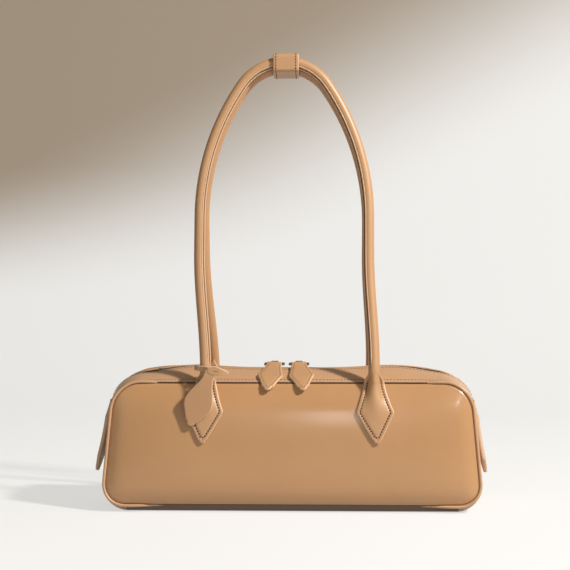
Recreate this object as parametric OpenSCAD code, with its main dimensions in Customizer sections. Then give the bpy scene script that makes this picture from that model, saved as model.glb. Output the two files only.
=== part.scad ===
/* [Body] */
// Length over the panels at the base
body_len = 302; // [280:1:320]
// Length over the panels at the height of the top seam
top_len = 285; // [272:1:298]
// Height of the top seams above the floor
seam_h = 103; // [92:1:120]
// Height of the bottom seams above the floor
base_rise = 5; // [4:0.5:8]
// Depth between the bottom seams
base_depth = 90; // [80:1:104]
// Depth between the top seams
top_depth = 76; // [68:1:86]
// Rise of the zip line above the top seams
crown_rise = 10; // [7:0.5:12]
// Radius of the bottom corners of the panels
low_corner_r = 19; // [16:1:28]
// Radius of the top corners of the panels
top_corner_r = 23; // [17:1:28]
// How far the front and back panels stand out at their middle
panel_bulge = 5; // [2:0.5:8]
// How far the end panels stand out at their middle
end_bulge = 2; // [1:0.5:4]

/* [Layers] */
// Thickness of the outer leather
leather_t = 1.8; // [1.4:0.1:2.2]
// Thickness of the stiffeners behind the panels
stiffener_t = 1.1; // [0.8:0.1:1.6]
// Thickness of the lining
lining_t = 0.7; // [0.5:0.1:1]
// Thickness of the base board
board_t = 2; // [1.5:0.1:3]
// Air between two layers that lie on each other
layer_gap = 0.2; // [0.14:0.02:0.3]
// Diameter of the piping in the seams
piping_d = 2.5; // [2:0.1:3]
// How far the piping runs along the top seams past the corners
piping_run = 14; // [8:1:20]
// How far the stiffeners stay inside the panel edge
stiffener_inset = 6; // [4:1:10]
// How far the linings end below the top seam
lining_drop = 8; // [7:1:14]

/* [Pocket] */
// Width of the slip pocket on the back lining
pocket_w = 120; // [90:5:160]
// Height of the pocket's lower edge above the floor
pocket_low = 38; // [30:1:46]
// Height of the pocket's mouth above the floor
pocket_top = 84; // [76:1:90]

/* [Zip] */
// Half of the length of the mouth that the zip opens
mouth_half = 95; // [85:1:100]
// Gap between the two leather bands over the zip
band_gap = 14; // [13:0.5:18]
// Thickness of the zip tape
tape_t = 0.6; // [0.4:0.1:0.8]
// Width of the tape that lies under each band
tape_under_w = 7; // [5:0.5:10]
// Width of the row of teeth on each side
tooth_w = 3; // [2.6:0.1:3.4]
// Height of a tooth
tooth_h = 2; // [1.6:0.1:2.4]
// Distance from one tooth to the next on the same side
tooth_pitch = 4; // [3:0.5:5]
// Length of a tooth along the zip
tooth_len = 1.7; // [1.2:0.1:2]
// Length of a zip stop
stop_len = 4; // [3:0.5:6]

/* [Sliders] */
// Offset of the meeting point of the sliders from the middle
slider_home = -5; // [-10:1:10]
// Length of a slider
slider_len = 11; // [9:0.5:13]
// Width of a slider
slider_w = 9.6; // [8.6:0.2:11]
// Thickness of the slider's plates
plate_t = 1.1; // [0.8:0.1:1.4]
// Distance of each slider from the meeting point
slider_apart = 10; // [8:0.5:13]
// Radius of the lug that carries the pull's ring
lug_r = 2.1; // [1.8:0.1:2.4]
// Length of the lug along the zip
lug_len = 4; // [3:0.5:5]

/* [Pulls] */
// Diameter of the ring's wire
wire_d = 1.6; // [1.2:0.1:1.8]
// Width of the ring
ring_w = 17; // [15:0.5:20]
// Reach of the ring from the lug to its outer bar
ring_reach = 8; // [7:0.5:10]
// Width of the leather pull where it folds over the ring
pull_neck_w = 13; // [10:0.5:14]
// Greatest width of the leather pull
pull_w = 19.5; // [16:0.5:21]
// Length of the leather pull from the ring's outer bar
pull_len = 42; // [34:1:46]
// Thickness of one layer of the pull's leather
pull_t = 1.3; // [1:0.1:1.6]
// Slope of the leather pull where it lies on the front band
pull_slope = 19.5; // [17:0.5:20]
// Turn of each leather pull away from the other
pull_splay = 6; // [3:0.5:10]

/* [Handles] */
// Diameter of the rolled handles
handle_d = 9; // [8:0.5:10]
// Wall of the handle leather round its core
handle_wall = 1.4; // [1:0.1:1.8]
// Rise of the front handle's centre line above the top seams
handle_rise = 259.5; // [230:1:280]
// How much lower the back handle's top is
back_drop = 4; // [3:0.5:6]
// Radius of the handle's top curve
top_r = 42; // [38:1:48]
// Turn of the top curve on each side
top_turn = 55.5; // [50:0.5:60]
// Radius of the handle's shoulders
shoulder_r = 191; // [170:1:210]
// How far each leg draws in from the shoulder to the bag
leg_draw_w = 1.5; // [0:0.5:5]
// Shift of both handles to the left
handle_shift = -1.5; // [-4:0.5:4]
// How much further to the left the handles stand above their legs
handle_sway = 5.2; // [0:0.2:7]
// Distance from the middle plane to each handle at its top
top_apart = 4.4; // [4.2:0.1:6]
// Height above the top seams where the legs leave the bag
leg_rise = 9; // [7:1:13]

/* [Handle tabs] */
// Width of a diamond tab at its corners
tab_w = 30.5; // [24:0.5:36]
// Width of a diamond tab at its neck
tab_neck_w = 13; // [11:0.5:16]
// Drop of the tab's corners below the top seams
tab_corner_drop = 23.5; // [19:0.5:27]
// Drop of the tab's lower tip below the top seams
tab_tip_drop = 48; // [41:1:55]
// Thickness of a diamond tab
tab_t = 2.2; // [1.6:0.1:2.8]

/* [Keeper] */
// Width of the keeper along the handles
keeper_w = 21; // [16:0.5:26]
// Thickness of the keeper's leather
keeper_t = 1.7; // [1.3:0.1:2.2]
// Room between the keeper and the handles
keeper_room = 0.7; // [0.5:0.1:1.2]

/* [Charm] */
// Length of the leather tag
tag_len = 46; // [36:1:54]
// Greatest width of the tag
tag_w = 23; // [18:0.5:28]
// Width of the tag's neck
tag_neck_w = 8.6; // [7:0.2:11]
// Thickness of the tag
tag_t = 2; // [1.4:0.1:2.6]
// Tilt of the tag to the side
tag_tilt = 21.5; // [5:1:25]
// Width of the lace
lace_w = 4; // [3:0.5:5]
// Thickness of the lace
lace_t = 1.2; // [0.8:0.1:1.6]
// Length of the lace's pointed end
lace_end = 19; // [12:1:24]

/* [End tabs] */
// Length of an end tab
end_tab_len = 60; // [48:1:66]
// Width of an end tab
end_tab_w = 24; // [18:1:30]
// Thickness of an end tab
end_tab_t = 3.2; // [2.4:0.2:4]
// Flare of an end tab away from the end
end_tab_flare = 9; // [6:0.5:16]

/* [Hidden] */

tan_leather = [0.72, 0.47, 0.27];
pale_leather = [0.78, 0.55, 0.38];
dark_metal = [0.20, 0.18, 0.17];
lining_cloth = [0.45, 0.36, 0.28];
board_grey = [0.55, 0.50, 0.45];

half_len = body_len / 2;
mid_h = (seam_h + base_rise) / 2;
half_h = (seam_h - base_rise) / 2;
side_power = 6;
rise_power = 2.6;
crown_power = 1.6;
rim_share = 0.15;
arc_step = 15;
// Distance from the seam line to the edge of a panel, which leaves the piping its place
panel_edge = piping_d / 2 + layer_gap;
// Distance from the panel's face to the edge of an end or base panel
wall_edge = leather_t + 0.15;
// Distance from the seam line down to the top edge of a panel
panel_top_edge = 2;
// Depths of the layers behind the panel's outer face
stiffener_depth = leather_t + layer_gap;
// Curved layers whose facets don't match lie a little further apart
loose_gap = 0.35;
patch_depth = stiffener_depth + stiffener_t + loose_gap;
patch_t = 0.6;
lining_depth = patch_depth + patch_t + loose_gap;
lining_back = lining_depth + lining_t;

// Height of the middle of the zip tape
zip_sink = 0.2;
zip_z = seam_h + crown_rise - leather_t - layer_gap - tape_t / 2 - zip_sink;
// Edge of the tape beside the teeth
tape_edge = tooth_w + layer_gap;
tooth_gap = 0.12;
joint_gap = 0.3;
// The mouth folds about the inner lower edge of the panel's seam
fold_inset = 1.7;
fold_y = top_depth / 2 - fold_inset;
fold_z = seam_h - leather_t + layer_gap;
band_lip = 0.9;

function lerp(a, b, s) = a + (b - a) * s;
function unit(v) = v / norm(v);

// How far a rounded corner draws the edge back at a place along the panel
function corner_drop(x, half, r) =
    abs(x) > half - r ? r - sqrt(max(0, r * r - pow(abs(x) - half + r, 2))) : 0;
function edge_low(x, k) = base_rise + k + corner_drop(x, half_len - k, low_corner_r - k);
function edge_high(x, k, k_top) = seam_h - k_top - corner_drop(x, half_len - k, top_corner_r - k);
function rise_share(z) = (z - base_rise) / (seam_h - base_rise);
// The ends lean in towards the top
function taper(z) = lerp(1, top_len / body_len, rise_share(z));
function half_depth(z) = lerp(base_depth, top_depth, rise_share(z)) / 2;
// Distance from the middle plane to the outer face of a panel
function panel_y(x, z) =
    let (u = min(1, abs(x) / taper(z) / half_len), w = min(1, abs(z - mid_h) / half_h))
    half_depth(z) + panel_bulge * (1 - pow(u, side_power)) * (1 - pow(w, rise_power));

// Stations along the length, closer together round the corners
function columns(k, count) =
    let (r = max(low_corner_r, top_corner_r) - k, flat = half_len - k - r)
    concat(
        [for (a = [90:-arc_step:arc_step]) -flat - r * sin(a)],
        [for (i = [0:count]) lerp(-flat, flat, i / count)],
        [for (a = [arc_step:arc_step:90]) flat + r * sin(a)]
    );
rows = [0, 0.07, 0.2, 0.4, 0.6, 0.8, 0.93, 1];

function leaf_grid(k, k_top, depth, count) =
    [for (x = columns(k, count)) [for (v = rows)
        let (z = lerp(edge_low(x, k), edge_high(x, k, k_top), v), px = x * taper(z))
        [px, panel_y(px, z) - depth, z]]];

// A plain stretch of a leaf between two heights
function patch_grid(x0, x1, z0, z1, depth, nx, nz) =
    [for (i = [0:nx]) [for (j = [0:nz])
        let (x = lerp(x0, x1, i / nx), z = lerp(z0, z1, j / nz))
        [x, panel_y(x, z) - depth, z]]];

function quad(a, b, c, d) = [[a, b, c], [a, c, d]];

// A closed sheet between two matching grids of points
module sheet_between(outer, inner) {
    nr = len(outer);
    nc = len(outer[0]);
    n = nr * nc;
    points = concat([for (r = outer) each r], [for (r = inner) each r]);
    lean = cross(outer[0][1] - outer[0][0], outer[1][0] - outer[0][0]) * (outer[0][0] - inner[0][0]);
    sides = concat(
        [for (i = [0:nr - 2]) for (j = [0:nc - 2])
            each quad(i * nc + j, i * nc + j + 1, (i + 1) * nc + j + 1, (i + 1) * nc + j)],
        [for (i = [0:nr - 2]) for (j = [0:nc - 2])
            each quad(n + (i + 1) * nc + j, n + (i + 1) * nc + j + 1, n + i * nc + j + 1, n + i * nc + j)],
        [for (j = [0:nc - 2]) each quad(j + 1, j, n + j, n + j + 1)],
        [for (j = [0:nc - 2]) let (b = (nr - 1) * nc + j) each quad(b, b + 1, n + b + 1, n + b)],
        [for (i = [0:nr - 2]) let (b = i * nc) each quad(b, b + nc, n + b + nc, n + b)],
        [for (i = [0:nr - 2]) let (b = i * nc + nc - 1) each quad(b + nc, b, n + b, n + b + nc)]
    );
    polyhedron(points, lean < 0 ? sides : [for (f = sides) [f[2], f[1], f[0]]], convexity = 8);
}

// A solid skin over a row of rings with the same number of points
module skin(rings) {
    nr = len(rings);
    nc = len(rings[0]);
    points = [for (r = rings) each r];
    sides = [for (i = [0:nr - 2]) for (j = [0:nc - 1])
        let (k = (j + 1) % nc)
        each quad(i * nc + j, i * nc + k, (i + 1) * nc + k, (i + 1) * nc + j)];
    caps = concat(
        [for (j = [1:nc - 2]) [0, j + 1, j]],
        [for (j = [1:nc - 2]) let (b = (nr - 1) * nc) [b, b + j, b + j + 1]]
    );
    polyhedron(points, concat(sides, caps), convexity = 8);
}

// Rings of a round tube along a path, each point of which is [x, y, z, radius]
function place(p) = [p[0], p[1], p[2]];
function heading(path, i) =
    unit(place(path[min(i + 1, len(path) - 1)]) - place(path[max(i - 1, 0)]));
function tube_rings(path, sides) =
    [for (i = [0:len(path) - 1])
        let (t = heading(path, i), n = unit(cross([0, 1, 0], t)), b = cross(t, n))
        [for (j = [0:sides - 1])
            let (a = -360 * j / sides)
            place(path[i]) + path[i][3] * (cos(a) * n + sin(a) * b)]];

module to_front() {
    mirror([0, 1, 0]) children();
}

// Leaf of the given depth behind a panel's outer face
module leaf(k, k_top, depth, thickness, count) {
    sheet_between(leaf_grid(k, k_top, depth, count), leaf_grid(k, k_top, depth + thickness, count));
}

module panel() {
    leaf(panel_edge, panel_top_edge, 0, leather_t, 12);
}

module stiffener() {
    leaf(stiffener_inset, stiffener_inset, stiffener_depth, stiffener_t, 6);
}

module side_lining() {
    leaf(stiffener_inset, lining_drop, lining_depth, lining_t, 6);
}

// Stations round the right end, as [x, z, turn of the outward normal from straight down]
function low_turn_stations() =
    [for (g = [0:arc_step:90])
        [half_len - low_corner_r * (1 - sin(g)), base_rise + low_corner_r * (1 - cos(g)), g]];
side_steps = 4;
function side_stations() =
    [for (i = [1:side_steps])
        [half_len, lerp(base_rise + low_corner_r, seam_h - top_corner_r, i / side_steps), 90]];
function top_turn_stations() =
    [for (a = [0:arc_step:90])
        [half_len - top_corner_r * (1 - cos(a)), seam_h - top_corner_r * (1 - sin(a)), 90 + a]];
run_steps = 2;
function run_stations(x_end) =
    [for (i = [1:run_steps]) [lerp(half_len - top_corner_r, x_end, i / run_steps), seam_h, 180]];
function tapered(s) = [s[0] * taper(s[1]), s[1], s[2]];
// The station whose tapered place along the top seam is x
function untapered(x) = x / taper(seam_h);

// Heights of the handles' parts, which all hang from the top seams
handle_top = seam_h + handle_rise;
leg_low = seam_h + leg_rise;
tab_corner_h = seam_h - tab_corner_drop;
tab_tip_h = seam_h - tab_tip_drop;
// Half of the width that the bands and the zip cross at the top
crown_half = top_depth / 2 - wall_edge;
// Rise of the outer face above the seam line, with t from -1 to 1 across the bag
function floor_rise(t) = base_rise * sin(90 * min(1, (1 - min(1, abs(t))) / rim_share));
function end_rise(t) = end_bulge * (1 - t * t);
function crown(t) = crown_rise * (1 - pow(min(1, abs(t)), crown_power));
function rise(g, t) =
    g <= 90 ? lerp(floor_rise(t), end_rise(t), g / 90) : lerp(end_rise(t), crown(t), (g - 90) / 90);

// A point of the wall round the end, the given depth inside its outer face
function wall_point(s, t, depth, edge) =
    let (e = rise(s[2], t) - depth, y = t * (panel_y(s[0], s[1]) - edge))
    [s[0] + e * sin(s[2]), y, s[1] - e * cos(s[2])];
function wall_grid(stations, across, depth, edge) =
    [for (s = stations) [for (t = across) wall_point(tapered(s), t, depth, edge)]];

floor_across = [-1, -0.96, -0.91, -0.85, -0.5, 0, 0.5, 0.85, 0.91, 0.96, 1];

module end_wall(depth, thickness, edge, drop) {
    stations = concat(low_turn_stations(), side_stations());
    ended = [for (s = stations) [s[0], min(s[1], seam_h - top_corner_r - drop), s[2]]];
    sheet_between(wall_grid(ended, floor_across, depth, edge),
        wall_grid(ended, floor_across, depth + thickness, edge));
}

// Cross-section of the base from the same rule as the ends, as [y, z]
function base_section(depth, edge) =
    [for (t = floor_across) [t * (base_depth / 2 - edge), base_rise - floor_rise(t) + depth]];
function reversed(v) = [for (i = [len(v) - 1:-1:0]) v[i]];

// A solid along the bag's length from a cross-section given as [y, z]
module along(x0, x1) {
    translate([x0, 0, 0]) rotate([90, 0, 90]) linear_extrude(height = x1 - x0) children();
}

base_end = half_len - low_corner_r;

module front_panel() {
    color(tan_leather) to_front() panel();
}

module back_panel() {
    color(tan_leather) panel();
}

module base_panel() {
    color(tan_leather) along(-base_end + layer_gap, base_end - layer_gap)
        polygon(concat(base_section(0, wall_edge), reversed(base_section(leather_t, wall_edge))));
}

module right_end_panel() {
    color(tan_leather) end_wall(0, leather_t, wall_edge, layer_gap);
}

module left_end_panel() {
    color(tan_leather) mirror([1, 0, 0]) end_wall(0, leather_t, wall_edge, layer_gap);
}

// The piping runs from one top corner round the bottom to the other
piping_start = half_len - top_corner_r - piping_run;
piping_sides = 6;
function piping_half() = concat(
    low_turn_stations(), side_stations(),
    [for (s = top_turn_stations()) if (s[2] > 90) s],
    [[piping_start, seam_h, 180]]
);
function piping_point(s) = [s[0], panel_y(s[0], s[1]), s[1], piping_d / 2];

module piping() {
    right = [for (s = piping_half()) piping_point(tapered(s))];
    left = [for (p = reversed(right)) [-p[0], p[1], p[2], p[3]]];
    skin(tube_rings(concat(left, right), piping_sides));
}

module front_piping() {
    color(pale_leather) to_front() piping();
}

module back_piping() {
    color(pale_leather) piping();
}

// Leather bands over the top corners, fixed to the bag at both ends of the mouth
function band_across(steps) =
    [for (i = [0:steps]) lerp(1, band_gap / 2 / crown_half, i / steps)];
module band_end() {
    stations = concat(top_turn_stations(), run_stations(untapered(mouth_half + joint_gap)));
    across = band_across(5);
    sheet_between(wall_grid(stations, across, 0, wall_edge), wall_grid(stations, across, leather_t, wall_edge));
}

module both_ends() {
    children();
    mirror([1, 0, 0]) children();
}

module back_band_ends() {
    color(pale_leather) both_ends() band_end();
}

module front_band_ends() {
    color(pale_leather) to_front() both_ends() band_end();
}

// Outer face of a band along the straight run, at a distance y from the middle plane
function band_z(y) = seam_h + crown(y / crown_half);
band_outer = fold_y + band_lip;
band_steps = 8;
function band_section(depth) =
    [for (i = [0:band_steps])
        let (y = lerp(band_outer, band_gap / 2, i / band_steps))
        [y, band_z(y) - depth]];

module mouth_band() {
    along(-mouth_half, mouth_half)
        polygon(concat(band_section(0), reversed(band_section(leather_t))));
}

module back_band() {
    color(pale_leather) mouth_band();
}

module front_band() {
    color(pale_leather) to_front() mouth_band();
}

// Zip tape, sewn under the band and ending beside the teeth
tape_outer = band_gap / 2 + tape_under_w;
tape_depth = leather_t + layer_gap;
function tape_z(y) = min(zip_z + tape_t / 2, band_z(y) - tape_depth);
tape_bend = 2;
tape_ys = [tape_outer, band_gap / 2 + tape_bend, tape_edge];
module tape_strip(x0, x1) {
    along(x0, x1) polygon(concat(
        [for (y = tape_ys) [y, tape_z(y)]],
        [for (y = reversed(tape_ys)) [y, tape_z(y) - tape_t]]));
}

module back_zip_tape() {
    color(dark_metal) tape_strip(-mouth_half, mouth_half);
}

module front_zip_tape() {
    color(dark_metal) to_front() tape_strip(-mouth_half, mouth_half);
}

// Row of teeth for one side, with the other side's teeth half a pitch away.
// The two sides part between the noses of the sliders, where no tooth stands
spine_w = 1.1;
slide_clear = 0.3;
post_len = 2.5;
post_room = post_len + slide_clear + tooth_len / 2;
parted = slider_apart - slider_len / 2 + post_room;
module tooth_row(x0, x1, shift, bare = 0) {
    first = ceil((x0 + tooth_len / 2 - shift) / tooth_pitch);
    last = floor((x1 - tooth_len / 2 - shift) / tooth_pitch);
    translate([0, 0, zip_z - tooth_h / 2]) linear_extrude(height = tooth_h) {
        translate([x0, tooth_w - spine_w]) square([x1 - x0, spine_w]);
        for (i = [first:last]) {
            x = shift + i * tooth_pitch;
            if (abs(x - slider_home) > parted && x > x0 + bare)
                translate([x - tooth_len / 2, tooth_gap])
                    square([tooth_len, tooth_w - spine_w / 2 - tooth_gap]);
        }
    }
}

module back_zip_teeth() {
    color(dark_metal) tooth_row(-mouth_half, mouth_half, 0);
}

module front_zip_teeth() {
    color(dark_metal) to_front() tooth_row(-mouth_half, mouth_half, tooth_pitch / 2);
}

// The fixed ends of the teeth stand on the tape just past the mouth, up to the stops
teeth_end = mouth_half + slider_len;
tape_split = teeth_end + layer_gap + stop_len;
module zip_teeth_ends() {
    x0 = mouth_half + joint_gap;
    color(dark_metal) both_ends() {
        tooth_row(x0, teeth_end, 0, post_room);
        to_front() tooth_row(x0, teeth_end, tooth_pitch / 2, post_room);
    }
}

// The tape goes on past the mouth beside the fixed teeth, and past the stops it closes and runs
// down over the corner
corner_tape_turn = 30;
module tape_over_corner() {
    stations = concat(
        [for (s = top_turn_stations()) if (s[2] >= 90 + corner_tape_turn) s],
        run_stations(untapered(tape_split + joint_gap)));
    across = [-1, 0, 1] * tape_outer / crown_half;
    depth = seam_h + crown_rise - zip_z - tape_t / 2;
    sheet_between(wall_grid(stations, across, depth, wall_edge),
        wall_grid(stations, across, depth + tape_t, wall_edge));
}

module zip_tape_ends() {
    color(dark_metal) both_ends() {
        tape_over_corner();
        tape_strip(mouth_half + joint_gap, tape_split);
        to_front() tape_strip(mouth_half + joint_gap, tape_split);
    }
}

module zip_stops() {
    color(dark_metal) both_ends()
        translate([teeth_end + layer_gap, -tooth_w, zip_z - tooth_h / 2])
            cube([stop_len, 2 * tooth_w, tooth_h]);
}

module back_stiffener() {
    color(board_grey) stiffener();
}

module front_stiffener() {
    color(board_grey) to_front() stiffener();
}

// Centre line of a handle. The shoulder's centre stands where both curves share a tangent
shoulder_x = (top_r - shoulder_r) * sin(top_turn);
function shoulder_z(top) = top - top_r + (top_r - shoulder_r) * cos(top_turn);
shoulder_half = shoulder_x + shoulder_r;
leg_len = shoulder_z(handle_top) - leg_low;
function leg_x(z) =
    let (d = shoulder_z(handle_top) - z)
    shoulder_half - leg_draw_w * d * d / (leg_len * leg_len);

// Patches that carry the handle tabs, behind the stiffeners
patch_margin = 3;
leg_base = leg_x(leg_low);
module patch_pair() {
    for (side = [-1, 1]) {
        x = handle_shift + side * leg_base;
        half = tab_w / 2 + patch_margin;
        z0 = tab_tip_h - patch_margin;
        z1 = seam_h - stiffener_inset - patch_margin;
        sheet_between(patch_grid(x - half, x + half, z0, z1, patch_depth, 4, 4),
            patch_grid(x - half, x + half, z0, z1, patch_depth + patch_t, 4, 4));
    }
}

module handle_patches() {
    color(board_grey) {
        patch_pair();
        to_front() patch_pair();
    }
}

board_margin = 8;
board_end_gap = 2;
module base_board() {
    inset = wall_edge + board_margin;
    half = base_end - board_end_gap;
    color(board_grey) translate([-half, -base_depth / 2 + inset, leather_t + layer_gap])
        cube([2 * half, base_depth - 2 * inset, board_t]);
}

module back_lining() {
    color(lining_cloth) side_lining();
}

module front_lining() {
    color(lining_cloth) to_front() side_lining();
}

module base_lining() {
    inset = lining_back + loose_gap;
    z0 = leather_t + board_t + 2 * layer_gap;
    color(lining_cloth) translate([-base_end, -base_depth / 2 + inset, z0])
        cube([2 * base_end, base_depth - 2 * inset, lining_t]);
}

// The end linings start part of the way up the bottom corner
lining_turn = 45;
lining_end_drop = 1;
module end_lining() {
    depth = leather_t + layer_gap;
    edge = lining_back + loose_gap;
    stations = concat([for (s = low_turn_stations()) if (s[2] >= lining_turn) s], side_stations());
    ended = [for (s = stations) [s[0], min(s[1], seam_h - top_corner_r - lining_end_drop), s[2]]];
    sheet_between(wall_grid(ended, floor_across, depth, edge),
        wall_grid(ended, floor_across, depth + lining_t, edge));
}

module right_end_lining() {
    color(lining_cloth) end_lining();
}

module left_end_lining() {
    color(lining_cloth) mirror([1, 0, 0]) end_lining();
}

module inner_pocket() {
    depth = lining_back + loose_gap;
    half = pocket_w / 2;
    color(lining_cloth) sheet_between(
        patch_grid(-half, half, pocket_low, pocket_top, depth, 6, 4),
        patch_grid(-half, half, pocket_low, pocket_top, depth + lining_t, 6, 4));
}

// Distance from the middle plane to a handle, from the bag up to the top
leg_clear = 0.5;
leg_y = panel_y(leg_x(seam_h), seam_h) + handle_d / 2 + leg_clear;
lean_bow = 0.545;
function lean_y(z, top) =
    let (s = (z - leg_low) / (top - leg_low))
    leg_y - (leg_y - top_apart) * ((1 + lean_bow) * s - lean_bow * s * s);

top_steps = 6;
shoulder_steps = 6;
leg_steps = 4;
// Right half of the centre line above the bag, from the top down, as [x, z]
function arch(top) = concat(
    [for (i = [0:top_steps])
        let (a = top_turn * i / top_steps)
        [top_r * sin(a), top - top_r + top_r * cos(a)]],
    [for (i = [1:shoulder_steps])
        let (a = lerp(top_turn, 90, i / shoulder_steps))
        [shoulder_x + shoulder_r * sin(a), shoulder_z(top) + shoulder_r * cos(a)]],
    [for (i = [1:leg_steps])
        let (z = lerp(shoulder_z(top), leg_low, i / leg_steps))
        [leg_x(z), z]]
);
// From just above the top seam the tube runs down the tab and flattens, as drops below the seam
// and shares of its radius. The bore and its cord end on the way
root_drops = [-3, 3, 9, 15, 21];
root_shares = [1, 1, 0.9, 0.72, 0.45];
root_clear = 0.25;
bore_share = 0.6;
bore_drop = 9;
cord_drop = 3;
function root(r, low) =
    [for (i = [0:len(root_drops) - 1]) if (root_drops[i] <= low)
        let (z = seam_h - root_drops[i], q = r * root_shares[i], x = leg_x(z))
        [x, panel_y(x, min(z, seam_h)) + q + root_clear + (handle_d / 2 - r) * bore_share, z, q]];
function half_line(top, r, roots) = concat(
    [for (p = arch(top)) [p[0], lean_y(p[1], top), p[1], r]], roots);
// The sway grows from the bag to the shoulders and then stays
sway_share = 0.75;
function sway(z) =
    let (s = max(0, min(1, (z - leg_low) / (leg_len * sway_share))))
    -handle_sway * s * s * (3 - 2 * s);
function whole_line(half) = concat(
    [for (p = reversed(half)) [sway(p[2]) - p[0], p[1], p[2], p[3]]],
    [for (i = [1:len(half) - 1]) let (p = half[i]) [sway(p[2]) + p[0], p[1], p[2], p[3]]]
);

tab_tip_half = 2;
tab_waist_power = 1.8;
// Half of the tab's width at a height
function tab_half(z) =
    z < tab_corner_h
        ? lerp(tab_tip_half, tab_w / 2, (z - tab_tip_h) / (tab_corner_h - tab_tip_h))
        : lerp(tab_neck_w / 2, tab_w / 2,
            pow(1 - min(1, (z - tab_corner_h) / (seam_h - tab_corner_h)), tab_waist_power));
tab_rows = 8;
module tab_plate() {
    zs = [for (i = [0:tab_rows]) lerp(tab_tip_h, seam_h, i / tab_rows)];
    grid = [for (z = zs) [for (u = [-1, -0.5, 0, 0.5, 1])
        let (x = leg_base + u * tab_half(z)) [x, panel_y(x, z) + layer_gap, z]]];
    sheet_between([for (r = grid) [for (p = r) p + [0, tab_t, 0]]], grid);
}

handle_sides = 12;
bore_r = handle_d / 2 - handle_wall;
module handle(top) {
    outer = whole_line(half_line(top, handle_d / 2, root(handle_d / 2, root_drops[4])));
    bore = whole_line(half_line(top, bore_r, root(bore_r, bore_drop)));
    translate([handle_shift, 0, 0]) difference() {
        union() {
            skin(tube_rings(outer, handle_sides));
            tab_plate();
            mirror([1, 0, 0]) tab_plate();
        }
        skin(tube_rings(bore, handle_sides));
    }
}

core_clear = 0.15;
module handle_core(top) {
    r = bore_r - core_clear;
    half = half_line(top, r, [for (p = root(bore_r, cord_drop)) [p[0], p[1], p[2], r]]);
    translate([handle_shift, 0, 0]) skin(tube_rings(whole_line(half), handle_sides));
}

module front_handle() {
    color(tan_leather) to_front() handle(handle_top);
}

module back_handle() {
    color(tan_leather) handle(handle_top - back_drop);
}

module front_handle_core() {
    color(board_grey) to_front() handle_core(handle_top);
}

module back_handle_core() {
    color(board_grey) handle_core(handle_top - back_drop);
}

// Slider on the zip, with a channel for the teeth, slots for the tape and a post at its nose
pivot_clear = 0.15;
post_w = 2 * (tooth_w - spine_w - slide_clear);
lug_neck = 0.6;
// Height of the ring's pivot above the middle of the tape
pivot_rise = tooth_h / 2 + slide_clear + plate_t + lug_r + lug_neck;
pivot_z = zip_z + pivot_rise;

module slider_body() {
    gap_h = tooth_h + 2 * slide_clear;
    full_h = gap_h + 2 * plate_t;
    slot_h = tape_t + 2 * slide_clear;
    channel_w = 2 * (tooth_w + slide_clear);
    difference() {
        union() {
            translate([-slider_len / 2, -slider_w / 2, -full_h / 2])
                cube([slider_len, slider_w, full_h]);
            translate([-lug_len / 2, 0, pivot_rise]) rotate([0, 90, 0])
                cylinder(h = lug_len, r = lug_r, $fn = 32);
            translate([-lug_len / 2, -lug_r, full_h / 2 - plate_t / 2])
                cube([lug_len, 2 * lug_r, pivot_rise - full_h / 2 + plate_t / 2]);
        }
        translate([-slider_len, -channel_w / 2, -gap_h / 2])
            cube([2 * slider_len, channel_w, gap_h]);
        translate([-slider_len, -slider_w, -slot_h / 2])
            cube([2 * slider_len, 2 * slider_w, slot_h]);
        translate([-lug_len, 0, pivot_rise]) rotate([0, 90, 0])
            cylinder(h = 2 * lug_len, r = wire_d / 2 + pivot_clear, $fn = 32);
    }
    translate([-slider_len / 2, -post_w / 2, -full_h / 2]) cube([post_len, post_w, full_h]);
}

right_x = slider_home + slider_apart;
left_x = slider_home - slider_apart;

module right_slider() {
    color(dark_metal) translate([right_x, 0, zip_z]) slider_body();
}

module left_slider() {
    color(dark_metal) translate([left_x, 0, zip_z]) mirror([1, 0, 0]) slider_body();
}

// Ring of wire that turns in the lug and carries the leather pull on its outer bar
module wire(p, q) {
    d = q - p;
    turn = acos(d[2] / norm(d));
    translate(p) rotate([0, turn, atan2(d[1], d[0])]) cylinder(h = norm(d), r = wire_d / 2, $fn = 24);
}

ring_slope = 3;
bar_y = -ring_reach * cos(ring_slope);
bar_z = -ring_reach * sin(ring_slope);
module pull_ring() {
    w = (ring_w - wire_d) / 2;
    corners = [[-w, 0, 0], [w, 0, 0], [w, bar_y, bar_z], [-w, bar_y, bar_z]];
    for (i = [0:3]) {
        wire(corners[i], corners[(i + 1) % 4]);
        translate(corners[i]) sphere(r = wire_d / 2, $fn = 24);
    }
}

// Leather pull: folded over the bar, with the outline of a long diamond cut off at the fold
pull_corner = 0.4;
pull_tip_w = 3;
bar_clear = 0.1;
module pull_outline(length, splay) {
    y1 = -length * pull_corner;
    rotate([0, 0, splay]) polygon([[-pull_neck_w / 2, 0], [-pull_w / 2, y1], [-pull_tip_w / 2, -length],
        [pull_tip_w / 2, -length], [pull_w / 2, y1], [pull_neck_w / 2, 0]]);
}

module leather_pull(splay) {
    fold_r = wire_d / 2 + bar_clear + pull_t;
    translate([0, bar_y, bar_z]) rotate([pull_slope, 0, 0]) difference() {
        union() {
            translate([-pull_neck_w / 2, 0, 0]) rotate([0, 90, 0])
                cylinder(h = pull_neck_w, r = fold_r, $fn = 32);
            translate([0, 0, -pull_t]) linear_extrude(height = 2 * pull_t) pull_outline(pull_len, splay);
        }
        translate([-ring_w, 0, 0]) rotate([0, 90, 0])
            cylinder(h = 2 * ring_w, r = wire_d / 2 + bar_clear, $fn = 32);
    }
}

module right_pull_ring() {
    color(dark_metal) translate([right_x, 0, pivot_z]) pull_ring();
}

module left_pull_ring() {
    color(dark_metal) translate([left_x, 0, pivot_z]) pull_ring();
}

module right_pull() {
    color(tan_leather) translate([right_x, 0, pivot_z]) leather_pull(pull_splay);
}

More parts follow.
